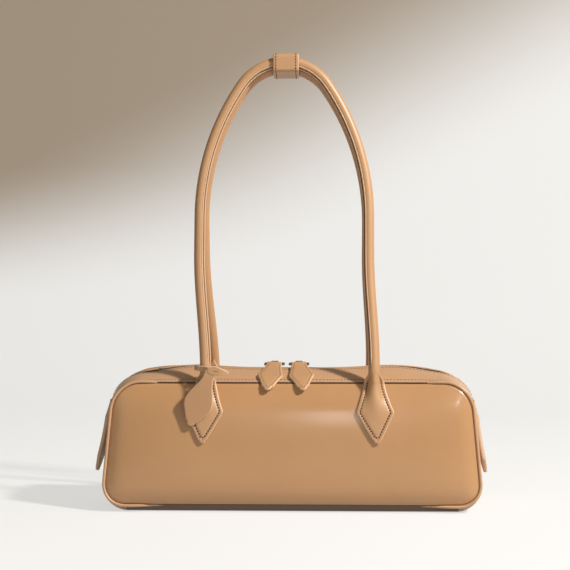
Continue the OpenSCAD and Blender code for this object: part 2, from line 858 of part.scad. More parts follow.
module left_pull() {
    color(tan_leather) translate([left_x, 0, pivot_z]) leather_pull(-pull_splay);
}

// End tabs hang from the ends of the zip
hang_rise = 6;
hang_gap = 1.4;
hang_z = seam_h - top_corner_r + hang_rise;
hang_face = half_len - corner_drop(hang_z - seam_h + half_len, half_len, top_corner_r);
hang_x = hang_face * taper(hang_z) + end_bulge + end_tab_t + hang_gap;
end_point = 12;
end_bevel = 2;
module end_tab() {
    half = end_tab_w / 2;
    translate([hang_x, 0, hang_z]) rotate([0, -end_tab_flare, 0]) rotate([90, 0, -90])
        linear_extrude(height = end_tab_t)
            polygon([[end_bevel - half, 0], [-half, -end_bevel], [-half, end_point - end_tab_len],
                [-end_bevel, -end_tab_len], [end_bevel, -end_tab_len],
                [half, end_point - end_tab_len], [half, -end_bevel], [half - end_bevel, 0]]);
}

module right_end_tab() {
    color(tan_leather) end_tab();
}

module left_end_tab() {
    color(tan_leather) mirror([1, 0, 0]) end_tab();
}

// Lace round the left front leg, with its pointed end to the right
lace_rise = 1;
lace_z = leg_low + lace_rise;
lace_x = handle_shift - leg_x(lace_z);
lace_y = -lean_y(lace_z, handle_top);
lace_room = 0.7;
lace_in = handle_d / 2 + lace_room;
lace_drop = 2;
lace_head = 5;
lace_start = 2;
lace_sunk = 0.01;
module charm_lace() {
    wide = lace_w / 2 + 1;
    color(tan_leather) translate([lace_x, lace_y, lace_z]) {
        rotate_extrude($fn = 48) translate([lace_in, -lace_w / 2]) square([lace_t, lace_w]);
        translate([0, lace_sunk - lace_in - lace_t, -lace_w / 2 - lace_drop]) rotate([90, 0, 0])
            linear_extrude(height = lace_t)
                polygon([[-lace_start, 0], [lace_end - lace_head, -wide], [lace_end, 0],
                    [lace_end - lace_head, wide], [-lace_start, lace_w + lace_drop]]);
    }
}

// Leather tag that hangs from the lace in front of the handle's tab
tag_gap = 0.4;
tag_shift = 5;
tag_drop = 2;
tag_y = lace_y - lace_in - 2 * lace_t - tag_gap;
tag_x = lace_x + tag_shift;
tag_z = lace_z - tag_drop;
// Where the neck ends and where the tag is widest, as shares of its length
tag_neck = 0.14;
tag_belly = 0.64;
tag_swell = 1.5;
tag_tip_half = 2.4;
function tag_half(s) =
    s < tag_neck ? tag_neck_w / 2
    : s < tag_belly
        ? lerp(tag_neck_w / 2, tag_w / 2, pow(sin(90 * (s - tag_neck) / (tag_belly - tag_neck)), tag_swell))
        : lerp(tag_w / 2, tag_tip_half, (s - tag_belly) / (1 - tag_belly));
tag_steps = [0, 0.14, 0.24, 0.34, 0.44, 0.54, 0.64, 1];
module charm_tag() {
    right = [for (s = tag_steps) [tag_half(s), -s * tag_len]];
    left = [for (p = reversed(right)) [-p[0], p[1]]];
    color(tan_leather) translate([tag_x, tag_y, tag_z]) rotate([90, 0, 0]) rotate([0, 0, -tag_tilt])
        linear_extrude(height = tag_t) polygon(concat(right, left));
}

// Keeper round both handles at their top
module round_rect(y0, y1, z0, z1, r) {
    translate([y0 + r, z0]) square([y1 - y0 - 2 * r, z1 - z0]);
    translate([y0, z0 + r]) square([y1 - y0, z1 - z0 - 2 * r]);
    for (y = [y0 + r, y1 - r]) {
        for (z = [z0 + r, z1 - r]) {
            translate([y, z]) circle(r = r, $fn = 48);
        }
    }
}

keeper_sag = top_r - sqrt(top_r * top_r - keeper_w * keeper_w / 4);
keeper_reach = top_apart + handle_d / 2 + keeper_room;
keeper_low = handle_top - back_drop - handle_d / 2 - keeper_sag - keeper_room;
keeper_high = handle_top + handle_d / 2 + keeper_room;
keeper_r = 4;
module handle_keeper() {
    t = keeper_t;
    color(tan_leather) translate([handle_shift - handle_sway, 0, 0]) along(-keeper_w / 2, keeper_w / 2) difference() {
        round_rect(-keeper_reach - t, keeper_reach + t, keeper_low - t, keeper_high + t, keeper_r + t);
        round_rect(-keeper_reach, keeper_reach, keeper_low, keeper_high, keeper_r);
    }
}

front_panel();
back_panel();
base_panel();
left_end_panel();
right_end_panel();
front_piping();
back_piping();
front_band_ends();
back_band_ends();
zip_tape_ends();
zip_teeth_ends();
zip_stops();
front_stiffener();
back_stiffener();
base_board();
front_lining();
back_lining();
base_lining();
left_end_lining();
right_end_lining();
handle_patches();
inner_pocket();
front_handle();
back_handle();
front_handle_core();
back_handle_core();
charm_lace();
front_band();
front_zip_tape();
front_zip_teeth();
back_band();
back_zip_tape();
back_zip_teeth();
right_slider();
right_pull_ring();
right_pull();
left_slider();
left_pull_ring();
left_pull();
left_end_tab();
right_end_tab();
charm_tag();
handle_keeper();
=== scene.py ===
from math import copysign, cos, exp, hypot, pi, radians, sin, sqrt

import bmesh
import bpy
import numpy as np
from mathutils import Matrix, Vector


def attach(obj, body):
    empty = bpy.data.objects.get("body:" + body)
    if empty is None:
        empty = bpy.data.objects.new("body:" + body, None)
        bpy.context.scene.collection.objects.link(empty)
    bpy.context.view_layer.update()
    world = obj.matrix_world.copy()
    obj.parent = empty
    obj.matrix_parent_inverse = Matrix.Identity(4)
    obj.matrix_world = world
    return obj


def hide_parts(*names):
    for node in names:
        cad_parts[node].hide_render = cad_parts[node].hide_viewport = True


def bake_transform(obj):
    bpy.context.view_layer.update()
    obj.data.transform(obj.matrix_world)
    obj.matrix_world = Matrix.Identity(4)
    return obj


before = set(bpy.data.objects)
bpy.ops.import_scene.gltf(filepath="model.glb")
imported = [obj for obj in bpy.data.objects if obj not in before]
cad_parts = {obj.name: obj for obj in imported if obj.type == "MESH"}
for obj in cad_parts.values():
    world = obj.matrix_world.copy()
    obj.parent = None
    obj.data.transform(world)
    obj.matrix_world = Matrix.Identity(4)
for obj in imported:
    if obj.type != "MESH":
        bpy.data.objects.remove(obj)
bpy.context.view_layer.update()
scene = bpy.context.scene
scene.view_settings.view_transform = "Standard"


# The studio. A long lens looks level at the front, a little from the right and above the bag. A pale
# floor runs up into a wall with painted shade high on the left. One lamp stands high on the right, a
# large weak one on the left fills the shadows, and two small ones in front give the leather its highlights.
def lerp(a, b, s):
    return a + (b - a) * s


def evenly(a, b, steps):
    return [lerp(a, b, i / steps) for i in range(steps + 1)]


def link(data, finish=None):
    """A mesh, curve, lamp or camera as an object of the same name at the origin."""
    made = bpy.data.objects.new(data.name, data)
    scene.collection.objects.link(made)
    if finish is not None:
        data.materials.append(finish)
    return made


def smooth(mesh):
    mesh.polygons.foreach_set("use_smooth", [True] * len(mesh.polygons))


def set_up(made, **settings):
    """Gives a node its settings and the values of its inputs, by name."""
    for key, value in settings.items():
        if hasattr(made, key):
            setattr(made, key, value)
        else:
            made.inputs[key.replace("_", " ")].default_value = value
    return made


def node(tree, kind, **settings):
    return set_up(tree.nodes.new(kind), **settings)


def tints(tree, **colours):
    """A mix of colour A and colour B, either of which may come by a link instead."""
    return node(tree, "ShaderNodeMix", data_type="RGBA", **{key: (*c, 1) for key, c in colours.items()})


def wire(tree, *links):
    """Joins nodes: each link is a node and its output, then a node and its input."""
    for source, out, target, into in links:
        tree.links.new(source.outputs[out], target.inputs[into])


def in_place(tree, kind, **settings):
    """A node that reads the piece's own coordinates."""
    made = node(tree, kind, **settings)
    wire(tree, (node(tree, "ShaderNodeTexCoord"), "Object", made, "Vector"))
    return made


def surface(name, **settings):
    """A new material with its tree and its shader."""
    made = bpy.data.materials.new(name)
    made.use_nodes = True
    return made, made.node_tree, set_up(made.node_tree.nodes["Principled BSDF"], **settings)


def backdrop():
    """The floor and the wall. The camera and gloss see them pale, with painted shade that makes the wall
    darker and browner high on the left. The light that they throw back on the bag is plain and weaker."""
    wall_y, turn, far = 1.5, 0.7, 4.0
    line = [(wall_y - turn + turn * sin(a), turn - turn * cos(a)) for a in evenly(0, radians(90), 16)]
    line = [(-far, 0.0), *line, (wall_y, far)]
    points = [(x, y, z) for y, z in line for x in (-far, far)]
    faces = [(2 * i, 2 * i + 1, 2 * i + 3, 2 * i + 2) for i in range(len(line) - 1)]
    mesh = bpy.data.meshes.new("Backdrop")
    mesh.from_pydata(points, [], faces)
    smooth(mesh)
    paper, tree, shader = surface("Backdrop paper", Roughness=0.9)
    split = in_place(tree, "ShaderNodeSeparateXYZ")
    lean = node(tree, "ShaderNodeMapRange", From_Min=0.0, From_Max=0.40, To_Max=-0.55)
    slant = node(tree, "ShaderNodeMath", operation="MULTIPLY_ADD")
    height = node(tree, "ShaderNodeMapRange", interpolation_type="SMOOTHSTEP", From_Min=0.24, From_Max=0.72)
    ray = node(tree, "ShaderNodeLightPath")
    seen = node(tree, "ShaderNodeMath", operation="MAXIMUM")
    # Painted shade: the wall's colour and its glow turn darker and browner high on the left.
    wall_painted_shade = tints(tree, A=(0.34, 0.335, 0.325), B=(0.22, 0.185, 0.15))
    glow_with_painted_shade = tints(tree, A=(0.60, 0.595, 0.58), B=(0.20, 0.155, 0.11))
    shade = tints(tree, A=(0.50, 0.49, 0.475))
    wire(
        tree, (split, "X", slant, 0), (split, "Z", lean, "Value"),
        (lean, "Result", slant, 1), (split, "Z", slant, 2), (slant, 0, height, "Value"),
        (height, "Result", wall_painted_shade, "Factor"), (wall_painted_shade, "Result", shade, "B"),
        (ray, "Is Camera Ray", seen, 0), (ray, "Is Glossy Ray", seen, 1), (seen, 0, shade, "Factor"),
        (height, "Result", glow_with_painted_shade, "Factor"), (shade, "Result", shader, "Base Color"),
        (glow_with_painted_shade, "Result", shader, "Emission Color"), (seen, 0, shader, "Emission Strength"),
    )
    link(mesh, paper)


def lamp(name, size, power, place, colour=(1, 1, 1)):
    data = bpy.data.lights.new(name, "AREA")
    data.shape = "ELLIPSE"
    data.size, data.size_y = size
    data.energy = power
    data.color = colour
    made = link(data)
    made.location = place
    made.rotation_euler = (Vector((0, 0, 0.10)) - Vector(place)).to_track_quat("-Z", "Y").to_euler()


camera_data = bpy.data.cameras.new("Camera")
camera_data.lens = 90.3
camera_data.sensor_width = 36
camera = link(camera_data)
camera.location = (0.0303, -1.1746, 0.180)
camera.rotation_euler = (radians(90), 0, radians(1.8))
scene.camera = camera
backdrop()
lamp("Key lamp", (0.24, 0.24), 64, (1.52, -1.03, 1.65), (1.0, 0.97, 0.93))
lamp("Fill lamp", (1.6, 1.6), 3.0, (-1.6, -1.8, 0.9))
lamp("Shine lamp", (0.07, 0.34), 1.1, (0.043, -1.503, 0.434))
lamp("Glint lamp", (0.07, 0.07), 1.0, (0.63, -1.34, 0.665))
world = bpy.data.worlds.new("Studio air")
scene.world = world
world.use_nodes = True
air = world.node_tree
air_light = set_up(air.nodes["Background"], Color=(0.98, 0.97, 0.96, 1))
air_ray = node(air, "ShaderNodeLightPath")
air_seen = node(air, "ShaderNodeMix", data_type="FLOAT", A=0.125, B=0.80)
wire(air, (air_ray, "Is Camera Ray", air_seen, "Factor"), (air_seen, "Result", air_light, "Strength"))


# Front and back panels: smooth calf leather, 1.8 mm thick, over a stiff board, so they stay full.
# Their edges turn in all round, to be sewn to the ends, the base and the two bands.
sides = (("front", -1), ("back", 1))
base_len, seam_len = 0.302, 0.285
base_depth, seam_depth = 0.090, 0.076
base_z, mid_z, seam_z = 0.005, 0.054, 0.103
half_len, half_high = base_len / 2, 0.049
low_r, top_r = 0.019, 0.023
leather_t = 0.0018
belly, fullness = 0.005, 0.0026


def clamp(v):
    return max(0.0, min(1.0, v))


def hump(v, centre, width):
    """A soft hump of height 1 at the centre."""
    return exp(-(((v - centre) / width) ** 2))


def up(z):
    """Share of the way from the base's seam to the top seam."""
    return (z - base_z) / (seam_z - base_z)


def taper(z):
    return lerp(1, seam_len / base_len, up(z))


def panel_y(x, z):
    """Distance from the middle plane to a panel's outer face."""
    u = min(1, abs(x) / taper(z) / half_len)
    w = min(1, abs(z - mid_z) / half_high)
    full = fullness
    for d, reach in ((half_len * (1 - u), 0.0075), (z - base_z, 0.0075), (seam_z - z, 0.014)):
        full *= 1 - hump(max(0, d), 0, reach)
    return lerp(base_depth, seam_depth, up(z)) / 2 + belly * (1 - u**6) * (1 - w**2.6) + full


def seam_distance(x, z):
    """Distance in from the seam line that runs round a panel, with x before the taper."""
    x = abs(x)
    if z < base_z + low_r and x > half_len - low_r:
        return low_r - hypot(x - half_len + low_r, base_z + low_r - z)
    if z > seam_z - top_r and x > half_len - top_r:
        return top_r - hypot(x - half_len + top_r, z - seam_z + top_r)
    return min(half_len - x, z - base_z, seam_z - z)


def turned_in(d, reach=0.0022, depth=0.0013):
    """How far a turned edge drops at a distance from its end."""
    s = 1 - min(1, max(0, d) / reach)
    return depth * (1 - sqrt(1 - s * s))


def spaced(length, near, count):
    """Places along a length: close together towards both ends, and count steps between."""
    middle = evenly(near[-1], length - near[-1], count)[1:-1]
    return [*near, *middle, *[length - d for d in reversed(near)]]


def closed_mesh(name, points, faces, rim=None):
    """A closed mesh: its meeting edges are joined, its faces turned outward and its sharp edges
    kept. rim says how far each point is edge paint."""
    mesh = bpy.data.meshes.new(name)
    mesh.from_pydata([tuple(p) for p in points], [], faces)
    if rim:
        mesh.attributes.new("rim", "FLOAT", "POINT").data.foreach_set("value", rim)
    work = bmesh.new()
    work.from_mesh(mesh)
    bmesh.ops.remove_doubles(work, verts=work.verts, dist=2e-6)
    bmesh.ops.dissolve_degenerate(work, edges=work.edges, dist=1e-6)
    bmesh.ops.recalc_face_normals(work, faces=work.faces)
    for edge in work.edges:
        if len(edge.link_faces) == 2 and edge.calc_face_angle() > radians(50):
            edge.smooth = False
    work.to_mesh(mesh)
    work.free()
    smooth(mesh)
    return mesh


def sheet_mesh(name, rows, rim=(), ring=False):
    """A closed sheet from rows of [outer, inner] points, with rim for each pair."""
    nr, nc = len(rows), len(rows[0])
    n = nr * nc
    points = [pair[face] for face in (0, 1) for row in rows for pair in row]
    faces = []
    for i in range(nr if ring else nr - 1):
        k = (i + 1) % nr
        for j in range(nc - 1):
            a, b, c, d = i * nc + j, i * nc + j + 1, k * nc + j + 1, k * nc + j
            faces += [(a, b, c, d), (n + d, n + c, n + b, n + a)]
        faces += [(i * nc, k * nc, n + k * nc, n + i * nc)]
        faces += [(k * nc + nc - 1, i * nc + nc - 1, n + i * nc + nc - 1, n + k * nc + nc - 1)]
    if not ring:
        for j in range(nc - 1):
            e = (nr - 1) * nc + j
            faces += [(j + 1, j, n + j, n + j + 1), (e, e + 1, n + e + 1, n + e)]
    return closed_mesh(name, points, faces, [*rim, *rim])


def new_tree(name, kind, inputs, outputs):
    """An empty node group with its inputs and outputs, and its two end nodes."""
    tree = bpy.data.node_groups.new(name, kind)
    for way, sockets in (("INPUT", inputs), ("OUTPUT", outputs)):
        for key, value in sockets.items():
            tree.interface.new_socket(name=key, in_out=way, socket_type=f"NodeSocket{value}")
    return tree, node(tree, "NodeGroupInput"), node(tree, "NodeGroupOutput")


def leather_grain():
    """Fine pores, faint creases and soft clouds of colour, as on boarded calf."""
    inputs = dict.fromkeys(("Pore scale", "Cloud scale"), "Float")
    outputs = dict.fromkeys(("Cloud", "Height"), "Float")
    tree, given, out = new_tree("Leather grain", "ShaderNodeTree", inputs, outputs)
    cloud = in_place(tree, "ShaderNodeTexNoise", Detail=4.0, Roughness=0.6)
    pores = in_place(tree, "ShaderNodeTexVoronoi", feature="SMOOTH_F1", Smoothness=0.6)
    crease = in_place(tree, "ShaderNodeTexNoise", Scale=420.0, Detail=3.0, Distortion=0.8)
    both = node(tree, "ShaderNodeMix", data_type="FLOAT", Factor=0.45)
    wire(
        tree, (given, "Pore scale", pores, "Scale"), (given, "Cloud scale", cloud, "Scale"),
        (pores, "Distance", both, "A"), (crease, "Fac", both, "B"),
        (cloud, "Fac", out, "Cloud"), (both, "Result", out, "Height"),
    )
    return tree


grain_group = leather_grain()


def times(colour, k):
    return [k * c for c in colour]


def leather(name, colour, rough=0.40, coat=0.25, rim=None, polish=0.16):
    """Finished leather. The rim attribute shows where the cut edge is painted."""
    made, tree, shader = surface(name, Coat_Weight=coat, Coat_Roughness=polish)
    grain = node(tree, "ShaderNodeGroup", node_tree=grain_group, Pore_scale=1500.0, Cloud_scale=22.0)
    shade = tints(tree, A=times(colour, 0.93), B=times(colour, 1.06))
    gloss = node(tree, "ShaderNodeMapRange", From_Min=0.3, From_Max=0.7)
    set_up(gloss, To_Min=rough - 0.05, To_Max=rough + 0.05)
    relief = node(tree, "ShaderNodeBump", Strength=0.12, Distance=0.0003)
    wire(
        tree, (grain, "Cloud", shade, "Factor"), (grain, "Cloud", gloss, "Value"),
        (gloss, "Result", shader, "Roughness"), (grain, "Height", relief, "Height"),
        (relief, "Normal", shader, "Normal"),
    )
    if rim is not None:
        where = node(tree, "ShaderNodeAttribute", attribute_name="rim")
        paint = tints(tree, B=rim)
        wire(tree, (where, "Fac", paint, "Factor"), (shade, "Result", paint, "A"))
        shade = paint
    wire(tree, (shade, "Result", shader, "Base Color"))
    return made


panel_leather = leather("Panel leather", (0.56, 0.298, 0.130), rough=0.34, coat=0.45)


def corner_drop(over, r):
    """How far a round corner's edge has turned away, at a distance past the corner's start."""
    return r - sqrt(max(0, r * r - over**2))


def panel_rows(side):
    edge, top_edge = 0.00145, 0.0016
    turns = (8, 16, 24, 32, 40, 47, 54, 60, 65, 70, 75, 80, 84, 87, 90)
    close = (0, 0.0003, 0.0007, 0.0012, 0.0019, 0.003, 0.0048, 0.0075)
    r = top_r - edge
    flat = half_len - edge - r
    past = [r * sin(radians(a)) for a in turns]
    rows = []
    for x in [-flat - t for t in reversed(past)] + evenly(-flat, flat, 64) + [flat + t for t in past]:
        low = corner_drop(abs(x) - half_len + low_r, low_r - edge) if abs(x) > half_len - low_r else 0.0
        high = corner_drop(abs(x) - flat, r) if abs(x) > flat else 0.0
        z0, z1 = base_z + edge + low, seam_z - top_edge - high
        row = []
        for d in spaced(z1 - z0, close, 27):
            z = z0 + d
            px = x * taper(z)
            y = panel_y(px, z)
            dip = turned_in(seam_distance(x, z) - edge)
            row.append(((px, side * (y - dip), z), (px, side * (y - leather_t - 0.2 * dip), z)))
        rows.append(row)
    return rows


for where, side in sides:
    panel = link(sheet_mesh(f"{where}_panel_leather", panel_rows(side)), panel_leather)
    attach(panel, "bag")
    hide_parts(f"{where}_panel")


# Base and ends: three lengths of leather, butted under the bottom corners and sewn to both panels.
# The base is drawn dark brown as painted shade, the shadow under the bag. It hangs 5 mm below its
# seams and lies flat on the floor. The ends swell a little, the left one more.
# Bands and ends: the panels' own leather, drawn lighter and paler as painted light, as the bands are lit from
# above.
band_leather_painted_light = leather("Band leather", (0.60, 0.345, 0.180), rough=0.42, coat=0.25)
# The base's dark brown is painted shade: the shadow that lies under the bag.
base_leather = leather("Base leather painted shade", (0.135, 0.072, 0.037), rough=0.50, coat=0.10)
end_swell = {1: 0.0022, -1: 0.0042}
base_drop, crown_rise = 0.005, 0.010
strip_inset = 0.00195


def rise(g, t, swell):
    """How far the strip stands out beyond the seam line, at a turn g and a place t across it."""
    floor = base_drop * sin(radians(90 * min(1, (1 - min(1, abs(t))) / 0.17)))
    side = swell * (1 - t * t)
    crown = crown_rise * (1 - min(1, abs(t)) ** 1.6)
    return lerp(floor, side, g / 90) if g <= 90 else lerp(side, crown, (g - 90) / 90)


def strip_half(station):
    """Half of the strip's width at a station [x, z, turn] round the bag."""
    x, z, _ = station
    return panel_y(x * taper(z), z) - strip_inset


def strip_point(station, share, depth, mirror=1):
    """A point of the strip, at a share of its half width and a depth below its face."""
    x, z, g = station
    e = rise(g, share, end_swell[mirror]) - depth
    a = radians(g)
    return (x * taper(z) + e * sin(a), share * strip_half(station), z - e * cos(a))


def strip_mesh(name, stations, half, mirror=1):
    near = (0, 0.0003, 0.0007, 0.0012, 0.002, 0.0032, 0.0045, 0.006)
    across = [d / half - 1 for d in spaced(2 * half, near, 20)]
    rows = []
    for s in stations:
        row = []
        for t in across:
            dip = turned_in((1 - abs(t)) * strip_half(s))
            pair = [strip_point(s, t, depth, mirror) for depth in (dip, leather_t + 0.2 * dip)]
            row.append([(mirror * x, y, z) for x, y, z in pair])
        rows.append(row)
    return sheet_mesh(name, rows)


low_turn = [
    (half_len - low_r * (1 - sin(radians(g))), base_z + low_r * (1 - cos(radians(g))), g)
    for g in range(0, 91, 5)
]
side_rise = [(half_len, z, 90) for z in evenly(base_z + low_r, seam_z - top_r, 18)[1:]]
base_run = [(x, base_z, 0) for x in evenly(low_r - half_len, half_len - low_r, 60)]

for name, mirror in (("right_end_leather", 1), ("left_end_leather", -1)):
    end = link(strip_mesh(name, low_turn + side_rise, 0.041, mirror), band_leather_painted_light)
    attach(end, "bag")
    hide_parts(name.replace("_leather", "_panel"))

base = link(strip_mesh("base_leather", base_run, 0.043), base_leather)
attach(base, "bag")
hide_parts("base_panel")


# Piping: a thin strip of leather drawn over a cord and caught in the seam, from one top corner
# round the bottom to the other. Its ends slip into the top seams, and its middle is tucked under.
piping_leather = leather("Piping leather", (0.62, 0.37, 0.20), rough=0.40, coat=0.22)
piping_r, tucked_r = 0.00125, 0.0007
top_turn = [
    (half_len - top_r * (1 - cos(radians(a))), seam_z - top_r * (1 - sin(radians(a))), 90 + a)
    for a in range(0, 91, 5)
]


def shape_tree(name, **inputs):
    """A geometry tree with its inputs, whose last step puts the material on."""
    inputs = {"Geometry": "Geometry", **inputs, "Material": "Material"}
    tree, given, out = new_tree(name, "GeometryNodeTree", inputs, {"Geometry": "Geometry"})
    coat = node(tree, "GeometryNodeSetMaterial")
    wire(tree, (given, "Material", coat, "Material"), (coat, "Geometry", out, "Geometry"))
    return tree, given, coat


def swept_tree():
    """A tube along a curve, whose points carry its radius."""
    tree, given, coat = shape_tree("Swept tube", Sides="Int")
    ring = node(tree, "GeometryNodeCurvePrimitiveCircle", Radius=1.0)
    size = node(tree, "GeometryNodeInputRadius")
    sweep = node(tree, "GeometryNodeCurveToMesh", Fill_Caps=True)
    shade = node(tree, "GeometryNodeSetShadeSmooth")
    wire(
        tree, (given, "Sides", ring, "Resolution"), (given, "Geometry", sweep, "Curve"),
        (ring, "Curve", sweep, "Profile Curve"), (size, "Radius", sweep, "Scale"),
        (sweep, "Mesh", shade, "Geometry"), (shade, "Geometry", coat, "Geometry"),
    )
    return tree


swept_tube = swept_tree()


def ease(s):
    """A smooth step from 0 to 1."""
    s = clamp(s)
    return s * s * (3 - 2 * s)


def curve_line(points, radii=None):
    """A curve of straight stretches through the points, to grow a tube or a row on."""
    data = bpy.data.curves.new("line", "CURVE")
    data.dimensions = "3D"
    line = data.splines.new("POLY")
    line.points.add(len(points) - 1)
    for i, p in enumerate(points):
        line.points[i].co = (*p, 1)
        line.points[i].radius = radii[i] if radii else 1.0
    return link(data)


def grow(name, carriers, tree, **values):
    """Runs a node tree on curves and keeps the results as one plain mesh object."""
    grown = bmesh.new()
    for carrier in carriers:
        step = carrier.modifiers.new("grow", "NODES")
        step.node_group = tree
        for item in tree.interface.items_tree:
            key = item.name.replace(" ", "_")
            if item.in_out == "INPUT" and key in values:
                step[item.identifier] = values[key]
        carrier.update_tag()
        bpy.context.view_layer.update()
        mesh = bpy.data.meshes.new_from_object(carrier.evaluated_get(bpy.context.evaluated_depsgraph_get()))
        grown.from_mesh(mesh)
        bpy.data.meshes.remove(mesh)
        data = carrier.data
        bpy.data.objects.remove(carrier)
        bpy.data.curves.remove(data)
    bmesh.ops.recalc_face_normals(grown, faces=grown.faces)
    mesh = bpy.data.meshes.new(name)
    grown.to_mesh(mesh)
    grown.free()
    smooth(mesh)
    return link(mesh, values["Material"])


half = [(x, z) for x, z, _ in low_turn + side_rise + top_turn[1:]]
half += [(half_len - top_r - d, seam_z - e) for d, e in ((0.006, 0), (0.010, 0.0002), (0.014, 0.0007))]
sinks = [0] * (len(half) - 2) + [0.0004, 0.0010]
for where, side in sides:
    right = []
    for (x, z), sunk in zip(half, sinks):
        x *= taper(z)
        right.append((x, side * (panel_y(x, z) - sunk), z))
    under, slim = [], []
    for x in evenly(low_r - half_len, half_len - low_r, 40)[1:-1]:
        tuck = ease((0.128 - abs(x)) / 0.026)
        under.append((x, side * (panel_y(x, base_z) - 0.0032 * tuck), base_z + 0.0002 * tuck))
        slim.append(piping_r - (piping_r - tucked_r) * tuck)
    path = [(-x, y, z) for x, y, z in reversed(right)] + under + right
    full = [piping_r] * (len(right) - 2)
    thick = [0.0006, 0.0011] + full + slim + full + [0.0011, 0.0006]
    carriers = [curve_line(path, thick)]
    roll = grow(f"{where}_piping_roll", carriers, swept_tube, Sides=14, Material=piping_leather)
    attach(roll, "bag")
    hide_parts(f"{where}_piping")


# Top seams: the upper edge of each panel is sewn under the band's edge. A thin dark tube along it is
# painted shade, the shadow in the gap of the seam, and shows as a thin dark line below the band.
# Painted shade: this dark leather stands for the shadow in the gaps of the seams.
seam_shade_paint = leather("Seam shade paint", (0.085, 0.042, 0.020), rough=0.55, coat=0.10)
edge_half, edge_r, edge_in = 0.113, 0.0006, 0.0008
for where, side in sides:
    line = []
    for x in evenly(-edge_half, edge_half, 60):
        line.append((x, side * (panel_y(x, seam_z) - edge_in), seam_z - edge_in))
    radii = [0.0001, 0.0004] + [edge_r] * (len(line) - 4) + [0.0004, 0.0001]
    edge = grow(f"{where}_edge_line", [curve_line(line, radii)], swept_tube, Sides=8, Material=seam_shade_paint)
    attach(edge, "bag")


# Bands: two long strips of leather, turned in and sewn along both edges, from end to end over the
# top corners. On the bag they open with the mouth between its ends; here each is made in two halves,
# left and right, which stay closed.
hands = (("left", -1), ("right", 1))
halves = [(where, side, hand, mirror) for where, side in sides for hand, mirror in hands]
band_edge_y, sewn_inner, sewn_outer = 0.007, 0.0040, 0.0035
over_top = top_turn + [(x, seam_z, 180) for x in evenly(half_len - top_r, 0, 48)[1:]]


def crest(x, side=0):
    """The bands stand highest beside the handles, settle between them and sink to the corners.
    Past the handles the front one lies lower than the back one, so the zip shows between them."""
    swell = 0.0022 * hump(abs(x), 0.078, 0.026)
    sink = (0.0040 if x > 0 else 0.0034) * hump(abs(x), 0.131, 0.022)
    lean = (0.0007 if x > 0 else 0.0015 if side < 0 else 0) * hump(abs(x), 0.112, 0.024)
    return swell - sink + side * lean


def band_point(s, y, depth, side=0, mirror=1):
    """A point of a band's half, at a station and a distance from the middle plane. The back band
    rolls up a little towards its left end."""
    share = y / strip_half(s)
    x, _, z = strip_point(s, share, depth, mirror)
    near = (s[2] - 90) / 90
    settle = crest(mirror * x, side) * near * (1 - min(1, share) ** 1.6)
    if side > 0 and mirror < 0:
        settle += 0.0026 * near * hump(y, 0.016, 0.0055) * hump(x, 0.112, 0.024)
    return (mirror * x, y, z + settle)


def band_mesh(name, side, mirror):
    near = (0, 0.0003, 0.0007, 0.0012, 0.0018, 0.0028, 0.0038, 0.0046)
    rows = []
    for s in over_top:
        wide = strip_half(s)
        if s[2] == 180:
            wide += 0.0009 * clamp((0.102 - s[0] * taper(seam_z)) / 0.014)
        row = []
        for d in spaced(wide - band_edge_y, near, 9):
            y = band_edge_y + d
            far = wide - y
            lip = turned_in(d, 0.0010, 0.0009)
            dip = turned_in(far, 0.0014, 0.0008) + lip + 0.00022 * hump(min(d, far), 0.004, 0.0006)
            pair = [band_point(s, y, depth, side, mirror) for depth in (dip, leather_t - 0.9 * lip)]
            row.append([(x, side * py, z) for x, py, z in pair])
        rows.append(row)
    return sheet_mesh(name, rows)


def open_with_mouth(piece):
    """Bakes the piece's place into its mesh. It does not turn with the mouth and is not attached to the bag.
    """
    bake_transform(piece)


for where, side, hand, mirror in halves:
    band = link(band_mesh(f"band_{where}_{hand}", side, mirror), band_leather_painted_light)
    open_with_mouth(band)
    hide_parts(f"{where}_band", f"{where}_band_ends")


# Stitches along both edges of the bands, in thread near the leather's own colour. Each stitch is
# a short round length of waxed thread, pulled down into the leather.
def thread_twist():
    """The faint twist of a thread's plies."""
    tree, given, out = new_tree("Thread twist", "ShaderNodeTree", {"Scale": "Float"}, {"Ply": "Float"})
    ply = in_place(tree, "ShaderNodeTexWave", Distortion=1.0)
    wire(tree, (given, "Scale", ply, "Scale"), (ply, "Fac", out, "Ply"))
    return tree


twist_group = thread_twist()


def thread(name, colour):
    """Waxed thread."""
    made, tree, shader = surface(name, Roughness=0.55)
    twist = node(tree, "ShaderNodeGroup", node_tree=twist_group, Scale=900.0)
    shade = tints(tree, A=times(colour, 0.75), B=colour)
    wire(tree, (twist, "Ply", shade, "Factor"), (shade, "Result", shader, "Base Color"))
    return made


def row_tree(name, **inputs):
    """A geometry tree that puts copies of a shape along a curve, one at every pitch."""
    tree, given, coat = shape_tree(name, Pitch="Float", **inputs)
    places = node(tree, "GeometryNodeResampleCurve", mode="LENGTH")
    copies = node(tree, "GeometryNodeInstanceOnPoints")
    real = node(tree, "GeometryNodeRealizeInstances")
    wire(
        tree, (given, "Geometry", places, "Curve"), (given, "Pitch", places, "Length"),
        (places, "Curve", copies, "Points"), (copies, "Instances", real, "Geometry"),
        (real, "Geometry", coat, "Geometry"),
    )
    return tree, given, copies


